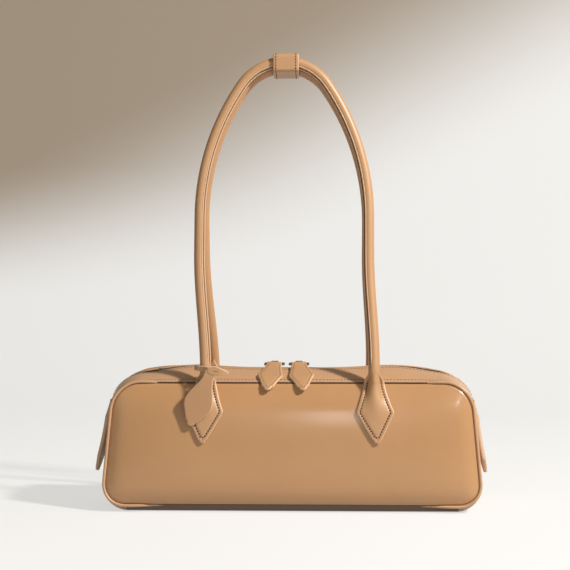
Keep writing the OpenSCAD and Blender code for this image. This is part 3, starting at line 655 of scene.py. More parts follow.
def stitch_tree():
    """A row of stitches, from its pitch and the thread's length and radius."""
    tree, given, copies = row_tree("Stitch row", **{"Stitch length": "Float", "Thread radius": "Float"})
    along = node(tree, "GeometryNodeInputTangent")
    turn = node(tree, "FunctionNodeAlignRotationToVector", axis="Z")
    bead = node(tree, "GeometryNodeMeshUVSphere", Segments=6, Rings=5, Radius=1.0)
    halve = node(tree, "ShaderNodeMath", operation="MULTIPLY")
    halve.inputs[1].default_value = 0.5
    size = node(tree, "ShaderNodeCombineXYZ")
    wire(
        tree, (bead, "Mesh", copies, "Instance"), (along, "Tangent", turn, "Vector"),
        (turn, "Rotation", copies, "Rotation"), (given, "Stitch length", halve, 0),
        (given, "Thread radius", size, "X"), (given, "Thread radius", size, "Y"),
        (halve, 0, size, "Z"), (size, "Vector", copies, "Scale"),
    )
    return tree


stitch_row = stitch_tree()
band_thread = thread("Band thread", (0.30, 0.17, 0.085))


def stitches(name, lines, finish, pitch=0.0028, length=0.0021, radius=0.00034):
    values = {"Pitch": pitch, "Stitch_length": length, "Thread_radius": radius, "Material": finish}
    return grow(name, [curve_line(p) for p in lines], stitch_row, **values)


for where, side, hand, mirror in halves:
    rows = [[], []]
    for s in over_top:
        for row, y in zip(rows, (band_edge_y + sewn_inner, strip_half(s) - sewn_outer)):
            x, py, z = band_point(s, y, 0.0001, side, mirror)
            row.append((x, side * py, z))
    sewn = stitches(f"band_stitches_{where}_{hand}", rows, band_thread)
    open_with_mouth(sewn)


# The zip: dark woven tape under the bands, with one row of dark metal teeth on each side that mesh
# along the middle. Past the stops the tape closes and runs down over the corners.
def fine_twill():
    """Two sets of threads that cross, from the scale of each."""
    inputs = dict.fromkeys(("Warp scale", "Weft scale"), "Float")
    tree, given, out = new_tree("Fine twill", "ShaderNodeTree", inputs, {"Cross": "Float"})
    warp = in_place(tree, "ShaderNodeTexWave", bands_direction="DIAGONAL", Distortion=0.4)
    weft = in_place(tree, "ShaderNodeTexWave", bands_direction="Z", Distortion=0.4)
    cross = node(tree, "ShaderNodeMath", operation="MULTIPLY")
    wire(
        tree, (given, "Warp scale", warp, "Scale"), (given, "Weft scale", weft, "Scale"),
        (warp, "Fac", cross, 0), (weft, "Fac", cross, 1), (cross, 0, out, "Cross"),
    )
    return tree


twill_group = fine_twill()


def woven(name, dark, light, scale):
    """Cloth with a fine twill, for tape, lining, board and cord."""
    made, tree, shader = surface(name, Roughness=0.8)
    twill = node(tree, "ShaderNodeGroup", node_tree=twill_group, Warp_scale=scale, Weft_scale=scale * 0.8)
    shade = tints(tree, A=dark, B=light)
    relief = node(tree, "ShaderNodeBump", Strength=0.4, Distance=0.0002)
    wire(
        tree, (twill, "Cross", shade, "Factor"), (shade, "Result", shader, "Base Color"),
        (twill, "Cross", relief, "Height"), (relief, "Normal", shader, "Normal"),
    )
    return made


def dark_metal(name, colour, rough):
    """Plated metal, rubbed a little brighter in clouds."""
    made, tree, shader = surface(name, Metallic=1.0)
    rub = in_place(tree, "ShaderNodeTexNoise", Scale=400.0, Detail=5.0)
    shade = tints(tree, A=colour, B=times(colour, 1.5))
    gloss = node(tree, "ShaderNodeMapRange", To_Min=rough - 0.08, To_Max=rough + 0.12)
    wire(
        tree, (rub, "Fac", shade, "Factor"), (rub, "Fac", gloss, "Value"),
        (shade, "Result", shader, "Base Color"), (gloss, "Result", shader, "Roughness"),
    )
    return made


zip_tape_cloth = woven("Zip tape", (0.012, 0.008, 0.006), (0.05, 0.038, 0.03), 1400)
zip_metal = dark_metal("Zip metal", (0.16, 0.135, 0.115), 0.32)
zip_z = 0.1105
tape_t, tape_open, tape_under, tape_over = 0.0006, 0.1102, 0.0022, 0.0003


def tape_point(s, y, below, mirror):
    """A point of the tape: level beside the teeth, and under the band further out."""
    x, _, z = band_point(s, y, tape_under + below, 0, mirror)
    if s[2] == 180:
        sunk = band_point(s, max(band_edge_y, y), 0.0020, -1, mirror)[2]
        z = min(zip_z + tape_over + 0.6 * crest(x), sunk) - below
    return (x, y, z)


for where, side, hand, mirror in halves:
    rows = []
    for s in over_top:
        inner = 0.0032 if s[2] == 180 and s[0] * taper(s[1]) < tape_open else 0.0
        row = []
        for y in (inner, 0.0045, 0.006, 0.008, 0.010, 0.012, 0.014):
            pair = [tape_point(s, y, below, mirror) for below in (0, tape_t)]
            row.append([(x, side * py, z) for x, py, z in pair])
        rows.append(row)
    tape = link(sheet_mesh(f"zip_tape_{where}_{hand}", rows), zip_tape_cloth)
    open_with_mouth(tape)
    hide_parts(f"{where}_zip_tape", "zip_tape_ends")


def tooth_tree():
    """A row of teeth: a short bar with a rounded head, at every pitch."""
    tree, given, copies = row_tree("Tooth row", **{"Tooth size": "Vector"})
    bar = node(tree, "GeometryNodeMeshCube")
    head = node(tree, "GeometryNodeMeshUVSphere", Segments=8, Rings=5, Radius=0.0009)
    both = node(tree, "GeometryNodeJoinGeometry")
    wire(
        tree, (given, "Tooth size", bar, "Size"), (bar, "Mesh", both, "Geometry"),
        (head, "Mesh", both, "Geometry"), (both, "Geometry", copies, "Instance"),
    )
    return tree


tooth_row = tooth_tree()
tooth_pitch, tooth_size, tooth_y = 0.0025, (0.0011, 0.0028, 0.0020), 0.0017
tooth_first, tooth_last = 0.0005, 0.1055
for where, side, hand, mirror in halves:
    first = tooth_first if side < 0 else tooth_first + tooth_pitch / 2
    run = [mirror * x for x in evenly(first, tooth_last, 30)]
    line = [(x, side * tooth_y, zip_z + 0.6 * crest(x)) for x in run]
    values = {"Pitch": tooth_pitch, "Tooth_size": tooth_size, "Material": zip_metal}
    teeth = grow(f"zip_teeth_{where}_{hand}", [curve_line(line)], tooth_row, **values)
    teeth.data.polygons.foreach_set("use_smooth", [False] * len(teeth.data.polygons))
    open_with_mouth(teeth)
    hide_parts(f"{where}_zip_teeth", "zip_teeth_ends")


# Sliders: cast metal, with a top and a bottom plate joined by a post at the nose, side flanges that
# close the teeth, and a bridge on top that the ring turns in.
def slider_mesh(name, x0, facing):
    work = bmesh.new()

    def corner(x, y, z):
        return work.verts.new((x0 + x, y, zip_z + z))

    def prism(outline, z0, z1):
        low, high = [[corner(x, y, z) for x, y in outline] for z in (z0, z1)]
        for face in (low, high, *zip(low, low[1:] + low[:1], high[1:] + high[:1], high)):
            work.faces.new(face)

    def block(xs, ys, z0, z1):
        xa, xb = sorted(x * facing for x in xs)
        ya, yb = sorted(ys)
        prism(((xa, ya), (xb, ya), (xb, yb), (xa, yb)), z0, z1)

    edge = [(-0.0055, 0.0041), (-0.0047, 0.0049), (0.0, 0.0049), (0.0036, 0.0043), (0.0056, 0.0026)]
    edge = [(x * facing, w) for x, w in edge]
    for z0, z1 in ((0.0013, 0.0024), (-0.0024, -0.0013)):
        prism(edge + [(x, -w) for x, w in reversed(edge)], z0, z1)
    for s in (-1, 1):
        for z0, z1 in ((0.0006, 0.0016), (-0.0016, -0.0006)):
            block((-0.005, 0.0015), (s * 0.0038, s * 0.0048), z0, z1)
    block((0.003, 0.0052), (-0.0014, 0.0014), -0.0015, 0.0015)
    bridge = ((0.0048, 0.0020), (0.0044, 0.0052), (0.0026, 0.0072))
    hole = ((0.0036, 0.0020), (0.0033, 0.0046), (0.0020, 0.0060))
    over = [(-x, z) for x, z in bridge] + list(reversed(bridge))
    back = [(x, z) for x, z in hole] + [(-x, z) for x, z in reversed(hole)]
    rings = [[corner(x, y, z) for y in (-0.0016, 0.0016)] for x, z in over + back]
    n, m = len(rings), len(over)
    for i in range(n):
        k = (i + 1) % n
        work.faces.new((rings[i][0], rings[k][0], rings[k][1], rings[i][1]))
    for i in range(m - 1):
        for e in (0, 1):
            work.faces.new((rings[i][e], rings[i + 1][e], rings[n - 2 - i][e], rings[n - 1 - i][e]))
    bmesh.ops.recalc_face_normals(work, faces=work.faces)
    mesh = bpy.data.meshes.new(name)
    work.to_mesh(mesh)
    work.free()
    return mesh


def finish_nodes(finish, *names):
    """CAD nodes whose shape is right stay, and get their finish."""
    for name in names:
        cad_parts[name].data.materials.clear()
        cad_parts[name].data.materials.append(finish)


slider_x = {"right": 0.005, "left": -0.015}
for hand, facing in (("right", 1), ("left", -1)):
    slider = link(slider_mesh(f"{hand}_slider_cast", slider_x[hand], facing), zip_metal)
    soften = slider.modifiers.new("edges", "BEVEL")
    soften.width = 0.00022
    soften.segments = 2
    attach(slider, f"slider_{hand}")
    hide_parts(f"{hand}_slider")

finish_nodes(zip_metal, "right_pull_ring", "left_pull_ring", "zip_stops")


# Handles: leather rolled round a cord, with two welts along the inner side and between them a thin
# dark line of painted shade in the seam. Each leg spreads into a diamond tab of doubled leather, sewn
# flat on the panel in dark thread.
trim_look = {"rough": 0.43, "coat": 0.14, "rim": (0.72, 0.50, 0.32), "polish": 0.36}
trim_leather = leather("Trim leather", (0.57, 0.315, 0.150), **trim_look)
welt_leather = leather("Welt leather", (0.70, 0.46, 0.28), rough=0.45, coat=0.10)
dark_thread = thread("Dark thread", (0.060, 0.030, 0.016))
handle_x, handle_sway = -0.0015, 0.0052
roll_r, top_y, lean_in = 0.0045, 0.0044, 0.545
leg_low, leg_y, leg_len = 0.112, 0.043, 0.124105
shoulder_half, leg_base = 0.068205, 0.066705
tab_top, tab_neck_z, tab_wide_z, tab_tip = 0.112, 0.108, 0.0795, 0.055
tab_len = tab_top - tab_tip
tab_root, tab_neck, tab_wide, tab_end = 0.0047, 0.0076, 0.01525, 0.0020
tab_lean, tab_half_t, tab_sewn_in = 0.0024, 0.0011, 0.0028
paint_width, rounding = 0.0007, 0.0011
# The dark seam line between the welts is painted shade.
inner_lines = {"welt": ((24, 58), 0.00050, welt_leather), "seam": ((41,), 0.00032, seam_shade_paint)}


def sway(z):
    return -handle_sway * ease((z - leg_low) / (0.75 * leg_len))


def handle_path(top):
    """Centre line of the right half of a handle, from its top down to the tab."""
    arc_r, turn, shoulder, steps = 0.042, radians(55.5), 0.191, 24
    sx = (arc_r - shoulder) * sin(turn)
    sz = top - arc_r + (arc_r - shoulder) * cos(turn)
    line = [(arc_r * sin(a), top - arc_r + arc_r * cos(a)) for a in evenly(0, turn, steps)]
    line += [(sx + shoulder * sin(a), sz + shoulder * cos(a)) for a in evenly(turn, radians(90), steps)[1:]]
    for z in evenly(sz, leg_low, steps)[1:]:
        down = (leg_low + leg_len - z) / leg_len
        line.append((shoulder_half - (shoulder_half - leg_base) * down**2, z))
    path = []
    for x, z in line:
        s = (z - leg_low) / (top - leg_low)
        path.append((x, leg_y - (leg_y - top_y) * ((1 + lean_in) * s - lean_in * s * s), z))
    return path


def frame_along(path, i):
    """The directions square to a path at a point: into the arch, and away from the viewer."""
    t = (Vector(path[min(i + 1, len(path) - 1)]) - Vector(path[max(i - 1, 0)])).normalized()
    n = Vector((0, 1, 0)).cross(t).normalized()
    return n, t.cross(n)


def tab_half(s):
    """Half of a tab's width at a distance from its top."""
    z = tab_top - s
    if z > tab_neck_z:
        return lerp(tab_neck, tab_root, clamp((z - tab_neck_z) / (tab_top - tab_neck_z)))
    if z < tab_wide_z:
        return lerp(tab_end, tab_wide, (z - tab_tip) / (tab_wide_z - tab_tip))
    return lerp(tab_neck, tab_wide, (1 - (z - tab_wide_z) / (tab_neck_z - tab_wide_z)) ** 1.6)


def eased(width, length, tip, reach=0.0012):
    """The same outline with its corners rounded over a short reach, and a round tip."""
    def made(s):
        total = sum(width(min(length, max(0, s + reach * k / 4))) for k in range(-4, 5)) / 9
        if length - s < tip:
            total = min(total, sqrt(max(0, tip * tip - (tip - (length - s)) ** 2)))
        return total
    return made


def outline_points(width, length, steps=160):
    """A closed outline, from the top right down to the tip and back up on the left. Its steps are
    closest at the tip, where it turns fastest."""
    right = [(width(length * sin(a)), length * sin(a)) for a in evenly(0, pi / 2, steps)]
    return right + [(-w, s) for w, s in reversed(right[:-1])]


def edge_distance(points, outline, open_top):
    """Distance of each point from an outline, in its own plane."""
    p = np.array(points)[:, None, :]
    a = np.array(outline)
    b = np.roll(a, -1, axis=0)
    if open_top:
        a, b = a[:-1], b[:-1]
    ab = b - a
    t = np.clip(((p - a) * ab).sum(2) / np.maximum((ab * ab).sum(1), 1e-18), 0, 1)
    return np.sqrt((((a + t[:, :, None] * ab) - p) ** 2).sum(2).min(1))


rim_steps = (0, 0.0001, 0.00025, 0.00045, 0.0007, 0.001, 0.0015, 0.0021, 0.0026, 0.003, 0.0034, 0.0041, 0.005)


def cut_rows(width, length, open_top):
    """Rows of points [across, down, distance from the edge] over an outline, close at its edges."""
    rows = []
    for s in spaced(length, rim_steps, round(length / 0.0013)):
        w = width(s)
        scale = min(1, w / 0.0056)
        right = [w - d * scale for d in rim_steps]
        right += [right[-1] * k for k in (0.6, 0.25)]
        rows.append([(a, s) for a in [-v for v in right] + [0] + right[::-1]])
    far = iter(edge_distance([p for row in rows for p in row], outline_points(width, length), open_top))
    return [[(a, s, float(next(far))) for a, s in row] for row in rows]


def round_edge(d, t):
    """Height of a rounded edge at a distance from it, for half a thickness t."""
    return t * sqrt(max(0, 1 - (1 - min(1, d / min(t, rounding))) ** 2))


def painted(d):
    return 1 - clamp((d - paint_width * 0.5) / (paint_width * 0.6))


def slab(name, width, length, place, half_t, relief=None, open_top=False):
    """A piece of leather cut to an outline, with round edges. width gives half its width at a
    distance from its top, place puts a point of it in the bag's frame, and half_t and relief
    shape its thickness and its face."""
    rows, rim = [], []
    for cut in cut_rows(width, length, open_top):
        row = []
        for a, s, d in cut:
            t = half_t(s) if callable(half_t) else half_t
            h = round_edge(d, t)
            raised = relief(d) * min(1, h / t) if relief else 0
            row.append((place(a, s, h + raised), place(a, s, -h)))
            rim.append(painted(d))
        rows.append(row)
    return sheet_mesh(name, rows, rim)


def inset_line(width, length, inset, open_top=True):
    """Points of a line that runs inside an outline at a constant distance from it."""
    outline = outline_points(width, length, 240)
    line = []
    for i in range(1, len(outline) - 1):
        (x0, s0), (x1, s1) = outline[i - 1], outline[i + 1]
        size = hypot(x1 - x0, s1 - s0)
        if size > 1e-9:
            line.append((outline[i][0] - inset * (s1 - s0) / size, outline[i][1] + inset * (x1 - x0) / size))
    near = inset * 0.97
    kept = [p for p, d in zip(line, edge_distance(line, outline, open_top)) if d > near]
    return [p for p in kept if open_top or p[1] > near]


tab_width = eased(tab_half, tab_len, 0.0026)


def tab_relief(a, s, d):
    """The rolled core swells the tab's middle and dies out, and the stitches pull a groove."""
    z = tab_top - s
    fade = clamp((z - 0.070) / 0.034)
    wide = lerp(0.0100, 0.0048, fade)
    high = 0.0070 * fade**1.5
    swell = high * max(0, 1 - (a / wide) ** 2) ** lerp(1.8, 0.6, fade)
    groove = 0.00040 * hump(d, tab_sewn_in, 0.0005)
    pad = 0.0004 * clamp((d - 0.0031) / 0.0016) * clamp((0.1 - z) / 0.01)
    return swell - groove + pad


def tab_place(centre, side):
    """Puts a point of a tab on the panel: across, down and out from the middle of its leather.
    The tips point a little away from the bag's middle."""
    def placed(a, s, n):
        x = centre + a + copysign(tab_lean, centre) * (s / tab_len) ** 2
        z = tab_top - s
        return (x, side * (panel_y(x, min(z, seam_z - 0.001)) + 0.0013 + n), z)
    return placed


def handle_rings(side, path):
    """Rings of [point, rim] from tab to tab. Over the top of each tab the round section of the
    roll spreads into the flat section of the tab."""
    rows = cut_rows(tab_width, tab_len, True)
    steps = len(rows[0]) - 1
    order = [(i, 1) for i in range(steps + 1)] + [(i, -1) for i in range(steps - 1, 0, -1)]
    tabs = {}
    for mirror in (-1, 1):
        centre = handle_x + mirror * leg_base
        place = tab_place(centre, side)
        tabs[mirror] = []
        for row in rows:
            s = row[0][1]
            flat = ease(s / 0.0095)
            roll_y = lerp(leg_y, panel_y(leg_base, min(tab_top - s, seam_z)) + 0.0048, clamp(s / 0.009))
            ring = []
            for i, face in order:
                a, _, d = row[i]
                h = face * round_edge(d, tab_half_t)
                if face > 0:
                    h += tab_relief(a, s, d) * h / tab_half_t
                q = pi * i / steps
                x, y = centre + mirror * roll_r * cos(q), roll_y + face * roll_r * sin(q)
                tube = Vector((x, side * y, tab_top - s))
                ring.append((tube.lerp(Vector(place(-mirror * a, s, h)), flat), painted(d) * flat))
            tabs[mirror].append(ring)
    over = []
    for i in range(1, len(path) - 1):
        n, b = frame_along(path, i)
        ring = []
        for j, face in order:
            q = pi * j / steps
            ring.append((Vector(path[i]) + roll_r * (face * side * sin(q) * b - cos(q) * n), 0.0))
        over.append(ring)
    return tabs[-1][::-1] + over + tabs[1]


def skin(name, rings):
    """A closed tube through rings of [point, rim], whose end rings shrink to nothing."""
    count = len(rings[0])
    faces = []
    for i in range(len(rings) - 1):
        for j in range(count):
            k = (j + 1) % count
            faces.append((i * count + j, i * count + k, (i + 1) * count + k, (i + 1) * count + j))
    points, rim = zip(*[pair for ring in rings for pair in ring])
    return closed_mesh(name, points, faces, rim)


for (where, side), top in zip(sides, (0.3625, 0.3585)):
    half = handle_path(top)
    path = [(-x, y, z) for x, y, z in reversed(half)] + half[1:]
    path = [(x + handle_x + sway(z), side * y, z) for x, y, z in path]
    roll = link(skin(f"{where}_handle_roll", handle_rings(side, path)), trim_leather)
    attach(roll, "bag")
    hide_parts(f"{where}_handle")
    reach = roll_r if side < 0 else roll_r - 0.0003
    for name, (angles, r, finish) in inner_lines.items():
        runs = []
        for q in map(radians, angles):
            line = []
            for i in range(1, len(path) - 1):
                n, b = frame_along(path, i)
                line.append(tuple(Vector(path[i]) + reach * (n * cos(q) + b * side * sin(q))))
            runs.append(curve_line(line, [0.0002] + [r] * (len(line) - 2) + [0.0002]))
        welt = grow(f"{where}_handle_{name}", runs, swept_tube, Sides=8, Material=finish)
        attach(welt, "bag")
    for hand, mirror in hands:
        place = tab_place(handle_x + mirror * leg_base, side)
        line = []
        for a, s in inset_line(tab_width, tab_len, tab_sewn_in):
            if tab_top - s < 0.1065:
                line.append(place(a, s, 0.0012 + tab_relief(a, s, tab_sewn_in)))
        name = f"{where}_{hand}_tab_stitches"
        sewn = stitches(name, [line], dark_thread, pitch=0.0023, length=0.0017, radius=0.00066)
        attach(sewn, "bag")


# Keeper: a short strap of doubled leather round both handles at their top, sewn near both edges and
# closed underneath. It slides a little way along the handles.
def loop_mesh(name, profile, width, thickness):
    """A closed strap: profile gives its points, each with its directions outward and across."""
    half, r = width / 2, thickness / 2
    ends = [d - half for d in (0, 0.00012, 0.0003, 0.0006, 0.0009)]
    xs = ends + evenly(ends[-1], -ends[-1], 8)[1:-1] + [-e for e in reversed(ends)]
    rows, rim = [], []
    for p, out, across in profile:
        row = []
        for x in xs:
            d = half - abs(x)
            h = round_edge(d, r)
            groove = 0.0002 * hump(d, 0.0024, 0.0004)
            row.append((p + across * x + out * (h - groove), p + across * x - out * h))
            rim.append(1 - clamp((d - 0.0002) / 0.0003))
        rows.append(row)
    return sheet_mesh(name, rows, rim, ring=True)


def rounded_loop(corners, x):
    """Points round a closed outline of [y, z, radius] corners, as [point, outward, across]."""
    line = []
    for i, (y, z, r) in enumerate(corners):
        here = Vector((y, z))
        before, after = corners[i - 1], corners[(i + 1) % len(corners)]
        into, out = [(Vector(end[:2]) - here).normalized() * r for end in (before, after)]
        for t in evenly(0, 1, 8):
            line.append(here + into * (1 - t) ** 2 + out * t * t)
    full = []
    for i, p in enumerate(line):
        q = line[(i + 1) % len(line)]
        full.append(p)
        if (q - p).length > 0.003:
            full += [p.lerp(q, t) for t in evenly(0, 1, 6)[1:-1]]
    points = []
    for i, p in enumerate(full):
        along = (full[(i + 1) % len(full)] - full[i - 1]).normalized()
        points.append((Vector((x, p.x, p.y)), Vector((0, along.y, -along.x)), Vector((1, 0, 0))))
    return points


keeper_x = handle_x - handle_sway + 0.0011
keeper_width, keeper_t = 0.021, 0.0017
keeper_low = ((-0.0105, 0.3549, 0.0015), (0.0105, 0.3509, 0.0042))
keeper_high = ((0.0105, 0.3649, 0.0042), (-0.0105, 0.3686, 0.0040))
keeper_line = rounded_loop(keeper_low + keeper_high, keeper_x)
keeper = link(loop_mesh("keeper_strap", keeper_line, keeper_width, keeper_t), trim_leather)
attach(keeper, "keeper")
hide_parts("handle_keeper")
around = keeper_line + keeper_line[:1]
keeper_rows = [[tuple(p + across * x + out * 0.0008) for p, out, across in around] for x in (-0.0081, 0.0081)]
sewn = stitches("keeper_stitches", keeper_rows, dark_thread, pitch=0.0024, length=0.0018, radius=0.00044)
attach(sewn, "keeper")


# Charm: a leaf of leather with a narrow neck, hung from a flat lace that goes round the left leg
# of the front handle and ends on the right in a slit arrow head.
lace_at = Vector((-0.068229, -0.042762, 0.113))
tag_at = Vector((-0.063229, -0.050762, 0.111))
lace_width, lace_t, lace_steps = 0.0044, 0.0014, 56
arrow_len, arrow_neck_at, arrow_wide_at, arrow_half = 0.022, 0.004, 0.0115, 0.0041
tag_len, tag_neck_share, tag_wide_share = 0.0465, 0.14, 0.645
tag_neck, tag_half_width, tag_tilt = 0.0044, 0.0119, radians(21.5)


def lace_drop(x):
    """The lace goes down from the left of the leg to the right, in front and behind."""
    return 0.0007 - 0.13 * x


lace_line = []
for a in evenly(0, 2 * pi, lace_steps)[:-1]:
    out = Vector((cos(a), sin(a), 0))
    reach = 0.0057 + 0.0026 * max(0, -cos(a)) ** 2
    down = Vector((0, 0, lace_drop(out.x * reach)))
    lace_line.append((lace_at + out * reach + down, out, Vector((0, 0, 1))))
lace = link(loop_mesh("charm_lace_loop", lace_line, lace_width, lace_t), trim_leather)
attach(lace, "bag")
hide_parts("charm_lace")


def arrow_width(s):
    if s < arrow_wide_at:
        return lerp(lace_width / 2, arrow_half, clamp((s - arrow_neck_at) / (arrow_wide_at - arrow_neck_at)))
    return lerp(arrow_half, 0.0010, (s - arrow_wide_at) / (arrow_len - arrow_wide_at))


def on_arrow(a, s, n):
    """The arrow head runs to the right in front of the leg, and its point curls back a little."""
    x = s - 0.003
    bend = 0.0040 * ease(s / 0.006) - 0.0022 * clamp((s - 0.013) / 0.009) ** 2
    return (lace_at.x + x, lace_at.y - 0.0064 - n - bend, lace_at.z + lace_drop(x) * 1.15 - a - 0.0002)


def on_lace_end(a, s, n):
    """The lace's other end stands up behind the leg on its right, cut to a point."""
    return (lace_at.x + 0.0062 + a, lace_at.y + 0.0040 + n + 0.15 * s, lace_at.z + 0.0078 - s)


def lace_end_width(s):
    return lerp(0.0002, 0.0036, min(1, s / 0.0075))


arrow_outline = eased(arrow_width, arrow_len, 0.0012, 0.0014)
arrow = link(slab("charm_arrow", arrow_outline, arrow_len, on_arrow, lace_t / 2), trim_leather)
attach(arrow, "bag")
# The slit is drawn as a short row of dark thread beads on the arrow's face: painted shade for the opening,
# not a cut.
slit = [on_arrow(0.0003, s, 0.00055) for s in (0.0105, 0.0118, 0.0131)]
slit_shade = stitches("charm_arrow_slit", [slit], dark_thread, pitch=0.0009, length=0.0013, radius=0.00034)
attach(slit_shade, "bag")
lace_end = link(slab("charm_lace_end", lace_end_width, 0.0095, on_lace_end, 0.0006), trim_leather)
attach(lace_end, "bag")


def tag_half(s):
    """A straight neck, a round shoulder and a side that narrows straight to the tip."""
    k = s / tag_len
    if k < tag_neck_share:
        return tag_neck
    if k < tag_wide_share:
        turn = radians(90 * (k - tag_neck_share) / (tag_wide_share - tag_neck_share))
        return lerp(tag_neck, tag_half_width, sin(turn) ** 1.5)
    return lerp(tag_half_width, 0.0024, (k - tag_wide_share) / (1 - tag_wide_share))


def on_tag(a, s, n):
    """The tag hangs tilted to the left, and curls a little along and across."""
    x = a * cos(tag_tilt) - s * sin(tag_tilt)
    z = -a * sin(tag_tilt) - s * cos(tag_tilt)
    curl = 0.0007 * cos(pi * s / 0.046) + 0.00072 * (a / tag_half_width) * clamp((s - 0.008) / 0.03)
    return (tag_at.x + x, tag_at.y - 0.0010 - n - curl, tag_at.z + 0.0012 + z)


tag_outline = eased(tag_half, tag_len, 0.0034, 0.0034)
tag = link(slab("charm_leaf", tag_outline, tag_len, on_tag, 0.0010), trim_leather)
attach(tag, "charm")
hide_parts("charm_tag")


# Pulls: a strip of leather folded over the ring's bar, glued to itself and sewn round, cut to a
# blunt diamond. Each lies on the front band and bends down over the seam.
pull_len, pull_fold, pull_wide_at = 0.0442, 0.0022, 0.0245
pull_neck, pull_wide, pull_tip = 0.0062, 0.0103, 0.0030
pull_slope, pull_bend = 19.5, 24
bar_y, bar_z = 0.00799, 0.11518


def pull_half(s):
    s -= pull_fold
    if s < pull_wide_at:
        return lerp(pull_neck, pull_wide, (max(0, s) / pull_wide_at) ** 1.3)
    return lerp(pull_wide, pull_tip, (s - pull_wide_at) / (pull_len - pull_fold - pull_wide_at))


def pull_thick(s):
    """Half the thickness: round over the bar, and thinner past it."""
    s -= pull_fold
    if s < 0:
        return sqrt(max(1e-9, pull_fold**2 - s * s))
    return 0.0013 + 0.0009 * hump(s, 0, 0.0034)


def pull_line(s):
    """Reach and drop of the pull's middle at a distance from the bar, and its slope there."""
    y = z = 0.0
    slope = pull_slope
    steps = max(1, round(abs(s) / 0.0005))
    for i in range(steps):
        slope = pull_slope + pull_bend * clamp((s * (i + 0.5) / steps - 0.024) / 0.012)
        y += cos(radians(slope)) * s / steps
        z += sin(radians(slope)) * s / steps
    return y, z, radians(slope)


def pull_relief(d):
    return 0.0002 * clamp((d - 0.0022) / 0.001) - 0.0002 * hump(d, 0.0020, 0.0003)


pull_outline = eased(pull_half, pull_len, 0.0034, 0.0018)
for hand, splay in (("left", radians(-6)), ("right", radians(6))):
    def on_bar(a, s, n):
        s -= pull_fold
        across = a * cos(splay) + s * sin(splay)
        y, z, slope = pull_line(s * cos(splay) - a * sin(splay))
        return (slider_x[hand] + across, -bar_y - y - n * sin(slope), bar_z - z + n * cos(slope))

    cut = slab(f"{hand}_pull_leather", pull_outline, pull_len, on_bar, pull_thick, pull_relief, open_top=True)
    pull = link(cut, trim_leather)
    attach(pull, f"pull_{hand}")
    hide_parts(f"{hand}_pull")
    inside = inset_line(pull_outline, pull_len, 0.0020)
    line = [on_bar(a, s, pull_thick(s) - 0.0001) for a, s in inside if s > 0.006]
    sewn = stitches(f"{hand}_pull_stitches", [line], band_thread, pitch=0.0023, length=0.0018, radius=0.00028)
    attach(sewn, f"pull_{hand}")


# End tabs: doubled leather, sewn round, that covers each end of the zip. It is fixed at its top,
# which is skived thin to lie smooth on the bag, and it flares away from the bag below.
tab_pivot_x, tab_pivot_z = 0.149815, 0.086
end_tab_len, end_tab_up, end_tab_half_t = 0.061, 0.001, 0.0016
end_tab_wide, end_tab_straight = 0.012, 0.048


def end_tab_half(s):
    s = max(0, s - end_tab_up)
    if s < end_tab_straight:
        return end_tab_wide
    return lerp(end_tab_wide, 0.002, (s - end_tab_straight) / (end_tab_len - end_tab_up - end_tab_straight))


def end_tab_thick(s):
    """Half the thickness, which grows from the skived top."""
    return lerp(0.0005, end_tab_half_t, clamp((s - 0.002) / 0.013))


def end_tab_relief(d):
    return -0.0002 * hump(d, 0.0024, 0.0004)


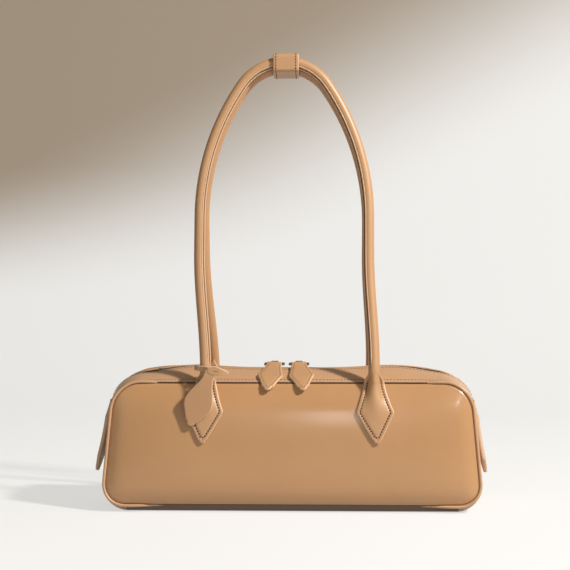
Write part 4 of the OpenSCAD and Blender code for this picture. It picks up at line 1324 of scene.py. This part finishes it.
end_tab_outline = eased(end_tab_half, end_tab_len, 0.002)
for hand, mirror, flare, stand_off in (("left", -1, 11.5, 0.0015), ("right", 1, 9, 0.0)):
    tilt = radians(flare)

    def on_end(a, s, n):
        x = tab_pivot_x + stand_off - end_tab_half_t - (end_tab_half_t - end_tab_thick(s))
        s -= end_tab_up
        x += s * sin(tilt) - 0.0012 * sin(pi * clamp(s / 0.06))
        return (mirror * (x + n * cos(tilt)), a, tab_pivot_z - s * cos(tilt) + n * sin(tilt))

    cut = slab(f"{hand}_end_tab_leather", end_tab_outline, end_tab_len, on_end, end_tab_thick, end_tab_relief)
    tab = link(cut, trim_leather)
    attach(tab, f"end_tab_{hand}")
    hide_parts(f"{hand}_end_tab")
    inside = inset_line(end_tab_outline, end_tab_len, 0.0024, False)
    line = [on_end(a, s, end_tab_thick(s) - 0.00005) for a, s in inside]
    sewn = stitches(f"{hand}_end_tab_stitches", [line], dark_thread, length=0.002, radius=0.00026)
    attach(sewn, f"end_tab_{hand}")


# Lining: plain brown cotton, cut to the panels, the ends and the base and sewn in just below the
# mouth, with a slip pocket on the back.
lining_cloth = woven("Lining cloth", (0.16, 0.10, 0.06), (0.30, 0.20, 0.13), 1100)
lining_half, lining_r, lining_t = 0.1425, 0.016, 0.0006
lining_low, lining_high, lining_in = 0.011, 0.0995, 0.0044


def lining_rows(side):
    rows = []
    for x in evenly(-lining_half, lining_half, 60):
        drop = max(0, corner_drop(max(0, abs(x) - lining_half + lining_r), lining_r))
        row = []
        for t in evenly(0, 1, 24):
            z = lerp(lining_low + drop, lining_high - 1.1 * drop, t)
            px = x * taper(z)
            slack = 0.0004 * sin(x * 90 + 3 * sin(z * 60)) * sin(pi * t)
            y = panel_y(px, z) - lining_in + slack - 0.0004
            row.append(((px, side * y, z), (px, side * (y - lining_t), z)))
        rows.append(row)
    return rows


for where, side in sides:
    cloth = link(sheet_mesh(f"{where}_lining_cloth", lining_rows(side)), lining_cloth)
    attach(cloth, "bag")
    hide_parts(f"{where}_lining")
finish_nodes(lining_cloth, "base_lining", "left_end_lining", "right_end_lining", "inner_pocket")


# What the leather hides: boards behind the panels and under the base, cloth patches behind the
# handle tabs, and the cords inside the handles.
board = woven("Bonded board", (0.40, 0.33, 0.26), (0.50, 0.43, 0.35), 600)
cotton = woven("Cotton cord", (0.62, 0.56, 0.46), (0.80, 0.75, 0.66), 500)
finish_nodes(board, "front_stiffener", "back_stiffener", "base_board")
finish_nodes(cotton, "handle_patches", "front_handle_core", "back_handle_core")
